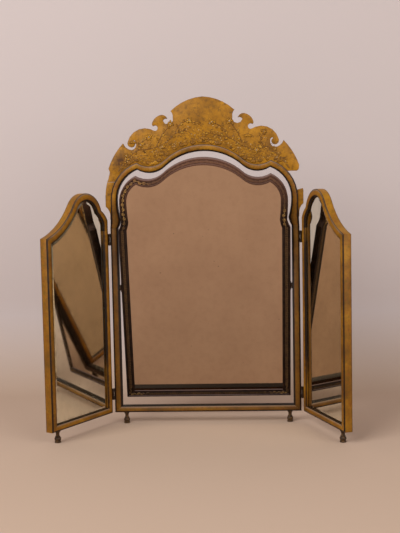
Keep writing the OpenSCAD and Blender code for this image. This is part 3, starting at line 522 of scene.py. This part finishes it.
# %% Silvered plate glass
def silvered_glass(name, tint, cloudy):
    made, tree, shader, place = new_material(name, Metallic=1.0)
    # Specks under 2 mm wide, up to one per 18 mm, where the silver has failed
    specks = add(tree, "TexVoronoi", Scale=1000 / 18, Vector=place)
    specks = add(tree, "MapRange", Value=specks, From_Min=0.06, From_Max=0.035)
    some = add(tree, "TexNoise", Scale=1000 / 33, Vector=place)
    some = add(tree, "Math", {"operation": "GREATER_THAN"}, i0=some, i1=0.53)
    specks = add(tree, "Math", TIMES, i0=specks, i1=some)
    rim = add(tree, "Attribute", {"attribute_name": "rim", "out": "Fac"})
    mould = add(tree, "TexNoise", Scale=1000 / 14, Detail=4.0, Roughness=0.7, Vector=place)
    mould = add(tree, "MapRange", Value=mould, From_Min=0.45, From_Max=0.75)
    foxing = add(tree, "Math", TIMES, i0=rim, i1=mould)
    haze = add(tree, "TexNoise", Scale=1000 / 110, Detail=3.0, Vector=place)
    colour = add(tree, "Mix", COLOUR, i0=haze, i6=linear(tint), i7=linear(cloudy))
    for amount, shade in ((foxing, "#5E4C3A"), (specks, "#241A14")):
        colour = add(tree, "Mix", COLOUR, i0=amount, i6=colour, i7=linear(shade))
    dull = add(tree, "Math", {"operation": "MAXIMUM"}, i0=specks, i1=foxing)
    dull = add(tree, "MapRange", Value=dull, To_Min=0.03, To_Max=0.45)
    plug(tree, shader, Base_Color=colour, Roughness=dull)
    return made


# The centre glass is made warmer than the wings': partly the old silver's own tint, partly a painted
# reflection of a brown wooden floor
centre_silver_with_painted_floor_tint = silvered_glass("old silvered plate glass", "#CDB59D", "#B49C87")
wing_silver = silvered_glass("old silvered plate glass, greyer", "#F0ECDC", "#DEDAC6")

# %% [markdown]
# ## Feet, ironwork, washers and backs
# The turned feet once were painted the colour of gilt bronze and are rubbed brown. Hinges, pivots and
# screws are iron with a black oxide skin. The washers at the pivots are pressed leather. The backs are thin
# unvarnished boards.


# %% The small materials
def simple(name, codes, size, roughness, stretch=(1.0, 1.0, 1.0), strength=0.3):
    """Three shades mixed by noise with features of one size in millimetres, with a bump from the same."""
    made, tree, shader, place = new_material(name, Specular_IOR_Level=0.3)
    place = add(tree, "VectorMath", TIMES, i0=place, i1=stretch)
    noise = add(tree, "TexNoise", Scale=1000 / size, Detail=4.0, Roughness=0.6, Vector=place)
    ramp = add(tree, "ValToRGB", {"stops": [(0.3, codes[0]), (0.72, codes[2]), (0.5, codes[1])]}, i0=noise)
    gloss = add(tree, "MapRange", Value=noise, To_Min=roughness - 0.1, To_Max=roughness + 0.12)
    bump = add(tree, "Bump", Strength=strength, Distance=0.3 * MM, Height=noise)
    plug(tree, shader, Base_Color=ramp, Roughness=gloss, Normal=bump)
    return made


bronzed = simple("turned beech, worn bronze paint", ("#1C0F08", "#402A14", "#6E4E24"), 4, 0.45)
iron = simple("black oxidised iron", ("#150D07", "#2A1A0F", "#3C2817"), 2.5, 0.55)
leather = simple("pressed leather", ("#2E1D12", "#4A2F1D", "#5E3E28"), 1.2, 0.7)
UPRIGHT_GRAIN = (1.0, 1.0, 0.07)
boards = ("#5A4128", "#7A5B3A", "#94714A")
poplar = simple("unvarnished poplar board", boards, 3, 0.7, stretch=UPRIGHT_GRAIN)
IRONWORK = ("screws", "pins", "_pin", "leaf", "plate", "socket")
wear(bronzed, *[n for n in nodes if n.endswith("foot") or "_foot_" in n])
wear(iron, *[n for n in nodes if any(word in n for word in IRONWORK)])
wear(leather, "pivot_washer_left", "pivot_washer_right")
wear(poplar, *[n for n in nodes if n.endswith("backboard")])

# %% [markdown]
# ## The outlines
# One curve rules the whole centre: a crown, a hollow and a shoulder on each side, all circular arcs, and a
# cusp below. Each frame member is a copy of that curve, lowered by its distance from the outer edge. The
# same small formulas as in the CAD source give the points here, only with more of them.


# %% Arcs, bows and the centre line
def polar(radius, degrees):
    return Vector((radius * math.cos(math.radians(degrees)), radius * math.sin(math.radians(degrees))))


def arc(centre, radius, start, end, n):
    return [centre + polar(radius, start + (end - start) * i / n) for i in range(n)]


def bow(p, q, b, n):
    """Points from p to q, without q, on an arc that bows out to the left by b."""
    chord = (q - p).length
    side = Vector((p.y - q.y, q.x - p.x)) / chord
    if abs(b) < 0.001:
        return [p.lerp(q, i / n) for i in range(n)]
    r = (chord * chord / 4 + b * b) / (2 * b)
    centre = (p + q) / 2 + side * (b - r)
    start = math.degrees(math.atan2(p.y - centre.y, p.x - centre.x))
    turn = -4 * math.degrees(math.atan(2 * b / chord))
    return [centre + polar(abs(r), start + turn * i / n) for i in range(n)]


def meeting(c1, r1, c2, r2):
    """Crossing of two circles, on the right of the line from the first centre to the second."""
    v = c2 - c1
    a = (r1 * r1 - r2 * r2 + v.length_squared) / (2 * v.length)
    return c1 + v * a / v.length + Vector((v.y, -v.x)) * math.sqrt(r1 * r1 - a * a) / v.length


def angle_of(v):
    return math.degrees(math.atan2(v.y, v.x))


CROWN_R, TROUGH_R, TROUGH_X, SHOULDER_R = 140, 54.5, 130.5, 94
SHOULDER_IN, SHOULDER_DROP, CUSP_DROP, CUSP_HOLLOW, STAND_CUSP = 2.5, 130, 47.5, 0.14, 202.5
crown = Vector((0, CROWN_H - CROWN_R))
trough = Vector((TROUGH_X, crown.y + math.sqrt((CROWN_R + TROUGH_R) ** 2 - TROUGH_X ** 2)))
shoulder = Vector((HALF_W - SHOULDER_IN - SHOULDER_R, CROWN_H - SHOULDER_DROP))
CUSP_H = shoulder.y - CUSP_DROP


def half_line(o, cusp, foot, n):
    """Right half of the centre outline, a height o lower, down through its cusp to the stile."""
    down = Vector((0, o))
    lean = angle_of(trough - crown)
    corner = meeting(shoulder, SHOULDER_R - o, trough - down, TROUGH_R)
    wide = shoulder + Vector((SHOULDER_R - o, 0))
    tip, end = Vector((cusp, CUSP_H)), Vector((foot, SPRING_H))
    swell = (wide - tip).length / 2 * math.tan(math.atan2(wide.x - tip.x, wide.y - tip.y) / 2)
    points = arc(crown - down, CROWN_R, 90, lean, n)
    points += arc(trough - down, TROUGH_R, lean + 180, angle_of(corner - trough + down) + 360, n)
    points += arc(shoulder, SHOULDER_R - o, angle_of(corner - shoulder), 0, n)
    return points + bow(wide, tip, swell, n) + bow(tip, end, -CUSP_HOLLOW * (foot - cusp), n // 2) + [end]


SWING_OFF, SWING_ARCH, SWING_CUSP, SWING_CUSP_FACE, STILE_STEPS = 26, 17, 197.5, 17.5, 60


def swing_line(t, n):
    """Line round the swinging frame, from the left foot over the arch to the right, t from its edge."""
    x, low = SWING_X - SWING_FACE * t, SWING_FOOT + SWING_RAIL * t
    half = half_line(SWING_OFF + SWING_ARCH * t, SWING_CUSP - SWING_CUSP_FACE * t, x, n)
    for i in range(1, STILE_STEPS + 1):
        half.append(Vector((x, SPRING_H + (low - SPRING_H) * i / STILE_STEPS)))
    return [Vector((-p.x, p.y)) for p in reversed(half[1:])] + half


print("trough", tuple(round(v, 1) for v in trough), "points", len(swing_line(0, 12)))

# %% [markdown]
# ## Glass panes with rims and bevels
# The wing glasses have a ground bevel about 7 mm wide in sight, which breaks the reflection near the frame.
# A pane is built as rings of points: its back, its front rim and the inner edge of the bevel. The rim also
# carries a number per point, which the glass material reads to grow its foxing from the edge.


# %% Wing outline
PEAK_X, LOBE_R, ROUND_R, HOLLOW_R, LOBE_END = 80.5, 60, 57, 177, 163
STILE_DROP, FALL, OGEE_RISE, OGEE_FALL, OGEE_BOW = 91.5, 99.5, 25, 7, 2.6


def wing_ring(t, n):
    """Line round a wing, t from its outer edge: the lower corners, then the arch from the hinge side."""
    o, low = FACE_W * t, FOOT_H + RAIL_H * t
    lobe, dome = Vector((PEAK_X, WING_H - LOBE_R)), Vector((PEAK_X, WING_H - ROUND_R))
    spring, outer = WING_H - STILE_DROP, Vector((WING_W, WING_H - FALL))
    hollow = meeting(outer, HOLLOW_R, dome, ROUND_R + HOLLOW_R)
    lean = angle_of(hollow - dome)
    r, across = HOLLOW_R + o, WING_W - o - hollow.x
    last = math.degrees(math.acos(across / r))
    ogee = Vector((o, spring + OGEE_RISE - OGEE_FALL * t))
    tip = lobe + polar(LOBE_R - o, LOBE_END)
    points = [Vector((WING_W - o, low)), Vector((o, low)), *bow(Vector((o, spring)), ogee, 0, n)]
    points += bow(ogee, tip, OGEE_BOW, n)
    points += arc(lobe, LOBE_R - o, LOBE_END, 90, n) + arc(dome, ROUND_R - o, 90, lean, n)
    points += arc(hollow, r, lean + 180, 360 - last, n)
    return points + [Vector((WING_W - o, hollow.y - math.sqrt(r * r - across ** 2)))]


print("wing outline of", len(wing_ring(0, 12)), "points")

# %% A pane from rings
GLASS_T, RING_STEPS = 4, 10


def pane(name, node, body, place, ring, start, inner, front, bevel, material):
    """ring gives outlines at shares of the frame's width, front the glass's depth, bevel its fall."""
    shares = [start, start, inner, inner + 0.01]
    depths = [front + GLASS_T, front + bevel, front, front]
    rings = [[place(p.x, y, p.y) for p in ring(t, RING_STEPS)] for t, y in zip(shares, depths)]
    m = len(rings[0])
    faces = [(k * m + i, (k + 1) * m + i, (k + 1) * m + (i + 1) % m, k * m + (i + 1) % m)
             for k in range(3) for i in range(m)]
    faces += [tuple(range(m)), tuple(3 * m + i for i in reversed(range(m)))]
    rim = [1.0] * (2 * m) + [0.45] * m + [0.1] * m
    made = new_object(name, [v for r in rings for v in r], faces, material, rim=rim)
    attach(made, body)
    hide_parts(node)


# %% The three glasses
WING_EDGE, WING_BEVEL_END, WING_GLASS_FRONT, WING_BEVEL_FALL = 12.3 / FACE_W, 25 / FACE_W, 6.1, 1.3
CENTRE_EDGE, CENTRE_BEVEL_END, CENTRE_BEVEL_FALL = 14.3 / SWING_FACE, 16 / SWING_FACE, 0.1
CENTRE_GLASS_FRONT = SWING_FRONT + 3.1
for side in ("left", "right"):
    pane(f"bevelled_glass_{side}", f"wing_{side}_glass", f"wing_{side}",
         lambda x, y, z: on_wing(side, x, y, z), wing_ring,
         WING_EDGE, WING_BEVEL_END, WING_GLASS_FRONT, WING_BEVEL_FALL, wing_silver)
pane("silvered_centre_glass", "centre_glass", "swing_mirror", on_swing, swing_line,
     CENTRE_EDGE, CENTRE_BEVEL_END, CENTRE_GLASS_FRONT, CENTRE_BEVEL_FALL, centre_silver_with_painted_floor_tint)

# %% [markdown]
# ## Carved band of the swinging frame
# Between two beads runs a band of low carving, 9.4 mm wide: overlapping leaf ribs up the stiles, and
# scrolled leaves on the shoulders and in the bottom corners. Over the crown and the right shoulder it is
# rubbed nearly smooth. A height is worked out for each point of a fine strip laid along the band, which is
# how a carver's low relief can be written as a formula.


# %% Height of the carving along the band
def smooth(x, a, b):
    x = min(max((x - a) / (b - a), 0), 1)
    return x * x * (3 - 2 * x)


RIB_PITCH, SCROLL_LENGTH, BAND_W = 4.5, 23.0, 9.4


def leaf_ribs(s, v):
    """Ribs that lean back from the middle of the band, like overlapping leaves."""
    dome = math.sqrt(max(0, 1 - v * v))
    ribs = 0.5 + 0.5 * math.sin(2 * math.pi * (s + 3.2 * abs(v)) / RIB_PITCH)
    return dome * (0.35 + 0.65 * ribs) * (0.6 + 0.4 * smooth(abs(v), 0.04, 0.16))


def leaf_scrolls(s, v):
    """A wavy stem with a curled leaf in each of its bends."""
    wave = math.sin(2 * math.pi * s / SCROLL_LENGTH)
    half = BAND_W / 2
    stem = math.exp(-(((v - 0.42 * wave) * half / 0.85) ** 2))
    side = 1 if wave > 0 else -1
    leaf_s = (math.floor(2 * s / SCROLL_LENGTH) + 0.5) * SCROLL_LENGTH / 2
    along, across = (s - leaf_s) / 4.4, (v + side * 0.38) * half / 2.9
    r, a = math.hypot(along, across), math.atan2(across, along)
    curl = 0.5 + 0.5 * math.cos(2.2 * math.pi * r - a * side)
    leaf = (1 - smooth(r, 0.8, 1.15)) * (0.3 + 0.7 * curl)
    return max(stem, leaf * 0.95) * smooth(1 - abs(v), 0.0, 0.12)


# %% The band as one fine strip
BAND_FLOOR, BAND_RISE, BAND_STEP, BAND_ROWS = SWING_FRONT + 1.5, 1.4, 0.75, 15


def carved_band(name, lines, style_at, rows=BAND_ROWS):
    """A strip between two lines, raised by the carving, whose style depends on the place."""
    outer, inner = lines
    middle = [(a + b) / 2 for a, b in zip(outer, inner)]
    lengths = [0]
    for a, b in zip(middle, middle[1:]):
        lengths.append(lengths[-1] + (b - a).length)
    count = int(lengths[-1] / BAND_STEP)
    verts, heights, gilts, k = [], [], [], 0
    for j in range(count + 1):
        s = lengths[-1] * j / count
        while k < len(lengths) - 2 and lengths[k + 1] < s:
            k += 1
        f = (s - lengths[k]) / max(lengths[k + 1] - lengths[k], 1e-9)
        a, b = outer[k].lerp(outer[k + 1], f), inner[k].lerp(inner[k + 1], f)
        scrolls, gilt, crisp = style_at((a + b) / 2)
        for i in range(rows):
            u = i / (rows - 1)
            v = 2 * u - 1
            h = leaf_ribs(s, v) * (1 - scrolls) + leaf_scrolls(s, v) * scrolls
            h = h * crisp + 0.5 * (1 - crisp) * math.sqrt(max(0, 1 - v * v))
            p = a.lerp(b, u)
            verts.append(on_swing(p.x, BAND_FLOOR - BAND_RISE * h, p.y))
            heights.append(h)
            gilts.append(gilt)
    faces = [(j * rows + i, j * rows + i + 1, (j + 1) * rows + i + 1, (j + 1) * rows + i)
             for j in range(count) for i in range(rows - 1)]
    made = new_object(name, verts, faces, carving_wood, height=heights, gilt=gilts)
    made.data.shade_smooth()
    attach(made, "swing_mirror")


def near(p, x, z, radius):
    """1 at a place, falling to 0 at a distance from it."""
    return 1 - smooth((p - Vector((x, z))).length, 0, radius)


def style_at(p):
    """How far the carving is scrolls, how much gilding is left on it, and how crisp it still is."""
    scrolls = max(smooth(p.y, 466, 496), 1 - smooth(p.y, 62, 84))
    gilt = 1.7 * near(p, -182, 548, 62) + near(p, 196, 508, 34) + near(p, -150, 586, 30) + 0.18
    rubbed = smooth(p.y, 556, 596) * smooth(p.x, -150, -110) + smooth(p.y, 496, 536) * smooth(p.x, 60, 120)
    return scrolls, min(1, gilt), 1 - 0.75 * min(1, rubbed)


def foot_style_at(p):
    corner = smooth(abs(p.x), 130, 160)
    return corner, 0.15 + 0.5 * smooth(abs(p.x), 150, 190), 0.45 + 0.55 * corner


BAND = (4.9 / SWING_FACE, 14.3 / SWING_FACE)
carved_band("carved_band", [swing_line(t, 40) for t in BAND], style_at)
foot_lines = []
for t in BAND:
    x, low = SWING_X - SWING_FACE * t, SWING_FOOT + SWING_RAIL * t
    foot_lines.append([Vector((-x + 2 * x * i / 80, low)) for i in range(81)])
carved_band("carved_band_foot", foot_lines, foot_style_at)

# %% [markdown]
# ## Raised decoration on the crest
# Decoration on lacquer is built up in gesso, gilded, and outlined with a brown pen. This is a generic
# design in that manner: branches with leaves and small blossoms, rocks and grass along the arch, banks of
# cloud, pen strokes and flakes of gold. Each motif is a low dome under 1 mm high, on a slightly larger dark
# plate that reads as its ink outline.


# %% Materials of the decoration
def gilded_gesso():
    made, tree, shader, place = new_material("gilded gesso", Roughness=0.45, Specular_IOR_Level=0.3)
    tone = add(tree, "Attribute", {"attribute_name": "tone", "out": "Fac"})
    patches = add(tree, "TexNoise", Scale=1000 / 3.5, Detail=3.0, Roughness=0.6, Vector=place)
    stops = [(0.0, "#5E3D0A"), (1.0, "#B39A78"), (0.35, "#9A660A"), (0.7, "#C48A14"), (0.85, "#CC9A34")]
    gold = add(tree, "ValToRGB", {"stops": stops}, i0=tone)
    worn = add(tree, "MapRange", Value=patches, From_Min=0.46, From_Max=0.62, To_Max=0.8)
    colour = add(tree, "Mix", COLOUR, i0=worn, i6=gold, i7=linear("#5F3D10"))
    bump = add(tree, "Bump", Strength=0.2, Distance=0.2 * MM, Height=patches)
    plug(tree, shader, Base_Color=colour, Normal=bump)
    return made


gesso = gilded_gesso()
ink = simple("brown ink under varnish", ("#3C240C", "#5C3A10", "#865812"), 3, 0.45, strength=0.1)


# %% Smooth paths and ovals
def smooth_path(points, n=8):
    """A Catmull-Rom curve through the points."""
    pts = [Vector(p) for p in points]
    pts = [pts[0] * 2 - pts[1], *pts, pts[-1] * 2 - pts[-2]]
    fine = []
    for a, b, c, d in zip(pts, pts[1:], pts[2:], pts[3:]):
        for i in range(n):
            t = i / n
            fine.append(0.5 * (2 * b + (c - a) * t + (2 * a - 5 * b + 4 * c - d) * t * t
                               + (3 * b - a - 3 * c + d) * t ** 3))
    return fine + [pts[-2]]


def oval(centre, wide, tall, turn=0, n=18):
    """Points round an ellipse whose long side is turned by some degrees."""
    along = polar(1, turn)
    across = Vector((-along.y, along.x))
    rim = [polar(1, 360 * k / n) for k in range(n)]
    return [centre + along * p.x * wide + across * p.y * tall for p in rim]


print("an oval has", len(oval(Vector((0, 0)), 2, 1)), "points")


# %% Drawing kit: domes, ribbons and the motifs made of them
class Drawing:
    """Points and faces of raised motifs, and of the ink plates under them."""

    def __init__(self):
        self.raised = ([], [], [])
        self.inked = ([], [], [])

    def rings(self, parts, rings, tone):
        verts, faces, tones = parts
        base, m = len(verts), len(rings[0])
        for ring in rings:
            verts.extend(ring)
            tones.extend([tone] * m)
        for k in range(len(rings) - 1):
            a = base + k * m
            faces.extend((a + i, a + (i + 1) % m, a + m + (i + 1) % m, a + m + i) for i in range(m))
        faces.append(tuple(base + (len(rings) - 1) * m + i for i in range(m)))

    def dome(self, outline, height, tone, margin=0.9):
        """Rings that rise inside an outline, on a plate of ink that is wider by a margin."""
        centre = sum(outline, Vector((0, 0))) / len(outline)
        steps = ((1.0, 0.0), (0.95, 0.55), (0.72, 0.88), (0.35, 1.0))
        rings = [[(*centre.lerp(p, share), height * rise) for p in outline] for share, rise in steps]
        self.rings(self.raised, rings, tone)
        if margin:
            wide = [p + (p - centre).normalized() * margin for p in outline]
            self.rings(self.inked, [[(*p, 0.0) for p in wide], [(*p, 0.12) for p in wide]], 0)

    def ribbon(self, parts, points, wide, thin, height, tone=0.0):
        """A ridge along a smooth path, which narrows from one width to another."""
        fine = smooth_path(points)
        verts, faces, tones = parts
        profile = ((-1, 0.0), (-0.6, 0.8), (0, 1.0), (0.6, 0.8), (1, 0.0))
        base, m = len(verts), len(profile)
        for i, p in enumerate(fine):
            ahead = (fine[min(i + 1, len(fine) - 1)] - fine[max(i - 1, 0)]).normalized()
            across = Vector((-ahead.y, ahead.x))
            half = (wide + (thin - wide) * i / (len(fine) - 1)) / 2
            verts.extend((*(p + across * half * w), height * h) for w, h in profile)
            tones.extend([tone] * m)
        for i in range(len(fine) - 1):
            a = base + i * m
            faces.extend((a + k, a + k + 1, a + m + k + 1, a + m + k) for k in range(m - 1))

    def leaf(self, base, degrees, length, width, tone, bend):
        """Two halves beside a bent spine."""
        n = 7
        along, across = polar(length, degrees), polar(1, degrees + 90)
        sway = [across * bend * math.sin(math.pi * i / n) for i in range(n + 1)]
        swell = [across * width / 2 * math.sin(math.pi * (i / n) ** 0.8) for i in range(n)]
        spine = [base + along * i / n + sway[i] for i in range(n + 1)]
        for sign in (-1, 1):
            edge = [spine[i] + swell[i] * sign for i in range(1, n)]
            half = [spine[0], *edge, spine[n], *[p + across * sign * 0.12 for p in reversed(spine[1:n])]]
            self.dome(half if sign < 0 else half[::-1], 0.6, tone)

    def blossom(self, centre, radius, petals, tone, turn):
        """Petals round a pale knob."""
        for i in range(petals):
            degrees = turn + i * 360 / petals
            size = radius * (0.92 + 0.16 * math.sin(2.4 * i + turn))
            middle, wide, tall = centre + polar(0.62 * size, degrees), 0.42 * size, 1.5 * size / petals
            self.dome(oval(middle, wide, tall, degrees, 12), 0.5, tone + 0.1 * (i % 2))
        self.dome(oval(centre, radius * 0.26, radius * 0.26, 0, 12), 0.85, 1.0, 0.5)

    def cloud(self, centre, width, tone):
        """Three lobes side by side, each with a curl drawn in ink."""
        for share, size in ((-0.36, 0.2), (0.34, 0.18), (0.0, 0.27)):
            middle, r = centre + Vector((share * width, size * width * 0.5)), size * width
            self.dome(oval(middle, r, r * 0.8), 0.45 + 0.3 * size, tone)
            curl = [middle + polar(r * (0.12 + 0.062 * k), 200 - 52 * k) for k in range(10)]
            self.ribbon(self.inked, curl, 0.5, 0.8, 0.66)
        level = [centre + Vector((width * share, -width * 0.1)) for share in (-0.7, -0.2, 0.3, 0.8)]
        self.ribbon(self.inked, level, 0.5, 0.8, 0.15)

    def rock(self, centre, width, tone, phase):
        """An uneven boulder with a crack."""
        bulge = 0.2 * width
        rim = [polar(width + bulge * math.sin(math.radians(3 * a) + phase), a) for a in range(0, 360, 24)]
        self.dome([centre + Vector((p.x, 0.62 * p.y)) for p in rim], 0.6, tone)
        crack = [centre + width * Vector(spot) for spot in ((-0.3, 0.4), (0.0, 0.1), (-0.1, -0.3))]
        self.ribbon(self.inked, crack, 0.9, 0.4, 0.7)

    def grass(self, base, size, tone, lean):
        """A tuft of five bent blades."""
        for i in range(5):
            degrees = 90 + lean + 17 * (i - 2)
            tall = size * (1 - 0.12 * abs(i - 2))
            blade = [base + polar(tall * k / 3, degrees + (i - 2) * 5 * k) for k in range(4)]
            self.ribbon(self.inked, blade, 2.0, 0.9, 0.12)
            self.ribbon(self.raised, blade, 1.1, 0.4, 0.45, tone)


# %% [markdown]
# ### Laying out the design
# Places on the crest are given as a distance from the middle and a height above the arch, so that the
# design follows the arch. The lists below fix the large motifs, and a seeded random generator, which gives
# the same numbers each time, scatters the leaves, the rocks, the strokes and the flakes.


# %% Branches, blossoms and clouds
def over_arch(x, up):
    """The place a height above the arch's outer edge, by the crown, the hollow or the shoulder."""
    for a, b in zip(arch_edge, arch_edge[1:]):
        if a.x <= abs(x) <= b.x:
            return Vector((x, a.y + (b.y - a.y) * (abs(x) - a.x) / max(b.x - a.x, 1e-6) + up))


arch_edge = half_line(0, STAND_CUSP, HALF_W, 16)
art = Drawing()
dice = random.Random(7)
BRANCHES = [
    [(-206, 12), (-184, 20), (-158, 31), (-128, 42), (-96, 40), (-66, 44), (-44, 40)],
    [(-158, 31), (-150, 52), (-132, 68)],
    [(-112, 42), (-100, 62), (-80, 72)],
    [(-66, 44), (-54, 60), (-34, 62)],
    [(206, 12), (182, 20), (156, 34), (126, 36), (96, 32), (66, 30), (30, 26), (4, 30)],
    [(150, 34), (138, 58), (146, 74)],
    [(98, 32), (84, 54), (66, 68)],
    [(60, 30), (46, 48), (24, 54)],
]
for path in BRANCHES:
    spots = [over_arch(x, up) for x, up in path]
    art.ribbon(art.inked, spots, 3.4, 2.0, 0.14)
    art.ribbon(art.raised, spots, 2.0, 0.9, 0.5, 0.25)
    fine = smooth_path(spots)
    for i in range(2, len(fine) - 1, 3):
        ahead = angle_of(fine[i + 1] - fine[i])
        side = 1 if i % 2 else -1
        art.leaf(fine[i], ahead + side * dice.uniform(28, 66), dice.uniform(7, 12), dice.uniform(3, 4.6),
                 dice.uniform(0.2, 0.85), dice.uniform(-1, 1))
BLOSSOMS = [
    (-130, 70, 8.5, 8), (-150, 48, 6.5, 6), (-78, 74, 8, 7), (-98, 36, 6, 6), (-32, 62, 7, 7),
    (-186, 30, 6, 6), (146, 76, 6, 6), (64, 70, 8, 8), (22, 55, 6.5, 6), (128, 34, 7.5, 7),
    (172, 32, 5.5, 6), (86, 42, 5.5, 6),
]
CLOUDS = [(-106, 22, 22), (-12, 50, 15), (108, 62, 17), (-168, 50, 14), (2, 12, 20)]
for x, up, radius, petals in BLOSSOMS:
    art.blossom(over_arch(x, up), radius, petals, dice.uniform(0.45, 0.75), dice.uniform(0, 60))
for x, up, width in CLOUDS:
    art.cloud(over_arch(x, up), width, dice.uniform(0.45, 0.7))
print("branches, blossoms and clouds:", len(art.raised[0]), "raised points")

# %% Rocks and grass along the arch, pen strokes and flakes
STROKES = FLAKES = 420
for x in range(-196, 197, 9):
    if dice.random() < 0.66:
        art.rock(over_arch(x + dice.uniform(-2, 2), dice.uniform(6, 10)), dice.uniform(3.2, 6.5),
                 dice.uniform(0.1, 0.7), dice.uniform(0, 6))
    if dice.random() < 0.4:
        art.grass(over_arch(x, 7), dice.uniform(8, 14), dice.uniform(0.3, 0.8), dice.uniform(-25, 25))
for _ in range(STROKES):
    x = dice.uniform(-200, 200)
    start = over_arch(x, dice.triangular(7, 62 if abs(x) < 165 else 28, 14))
    lean, length = dice.uniform(-25, 25), dice.uniform(3, 9)
    path = [start + polar(length * k / 3, lean) + Vector((0, dice.uniform(-1, 1))) for k in range(4)]
    art.ribbon(art.inked, path, 1.1, 0.5, 0.13)
for _ in range(FLAKES):
    x = dice.uniform(-200, 200)
    spot = over_arch(x, dice.triangular(6, 66 if abs(x) < 160 else 28, 16))
    flake = oval(spot, dice.uniform(0.8, 2.2), dice.uniform(0.6, 1.3), dice.uniform(0, 90), 8)
    art.dome(flake, 0.35, dice.uniform(0.3, 1.0), 0)
print("with the small ones:", len(art.raised[0]), "raised points,", len(art.inked[0]), "inked points")


# %% The decoration as two pieces on the board
def relief(name, parts, material):
    flat, faces, tones = parts
    verts = [on_stand(x, CREST_FRONT - 0.02 - h, z) for x, z, h in flat]
    made = new_object(name, verts, faces, material, tone=tones)
    made.data.shade_smooth()
    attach(made, "stand")


relief("crest_raised_decoration", art.raised, gesso)
relief("crest_ink_lines", art.inked, ink)

bpy.context.view_layer.update()
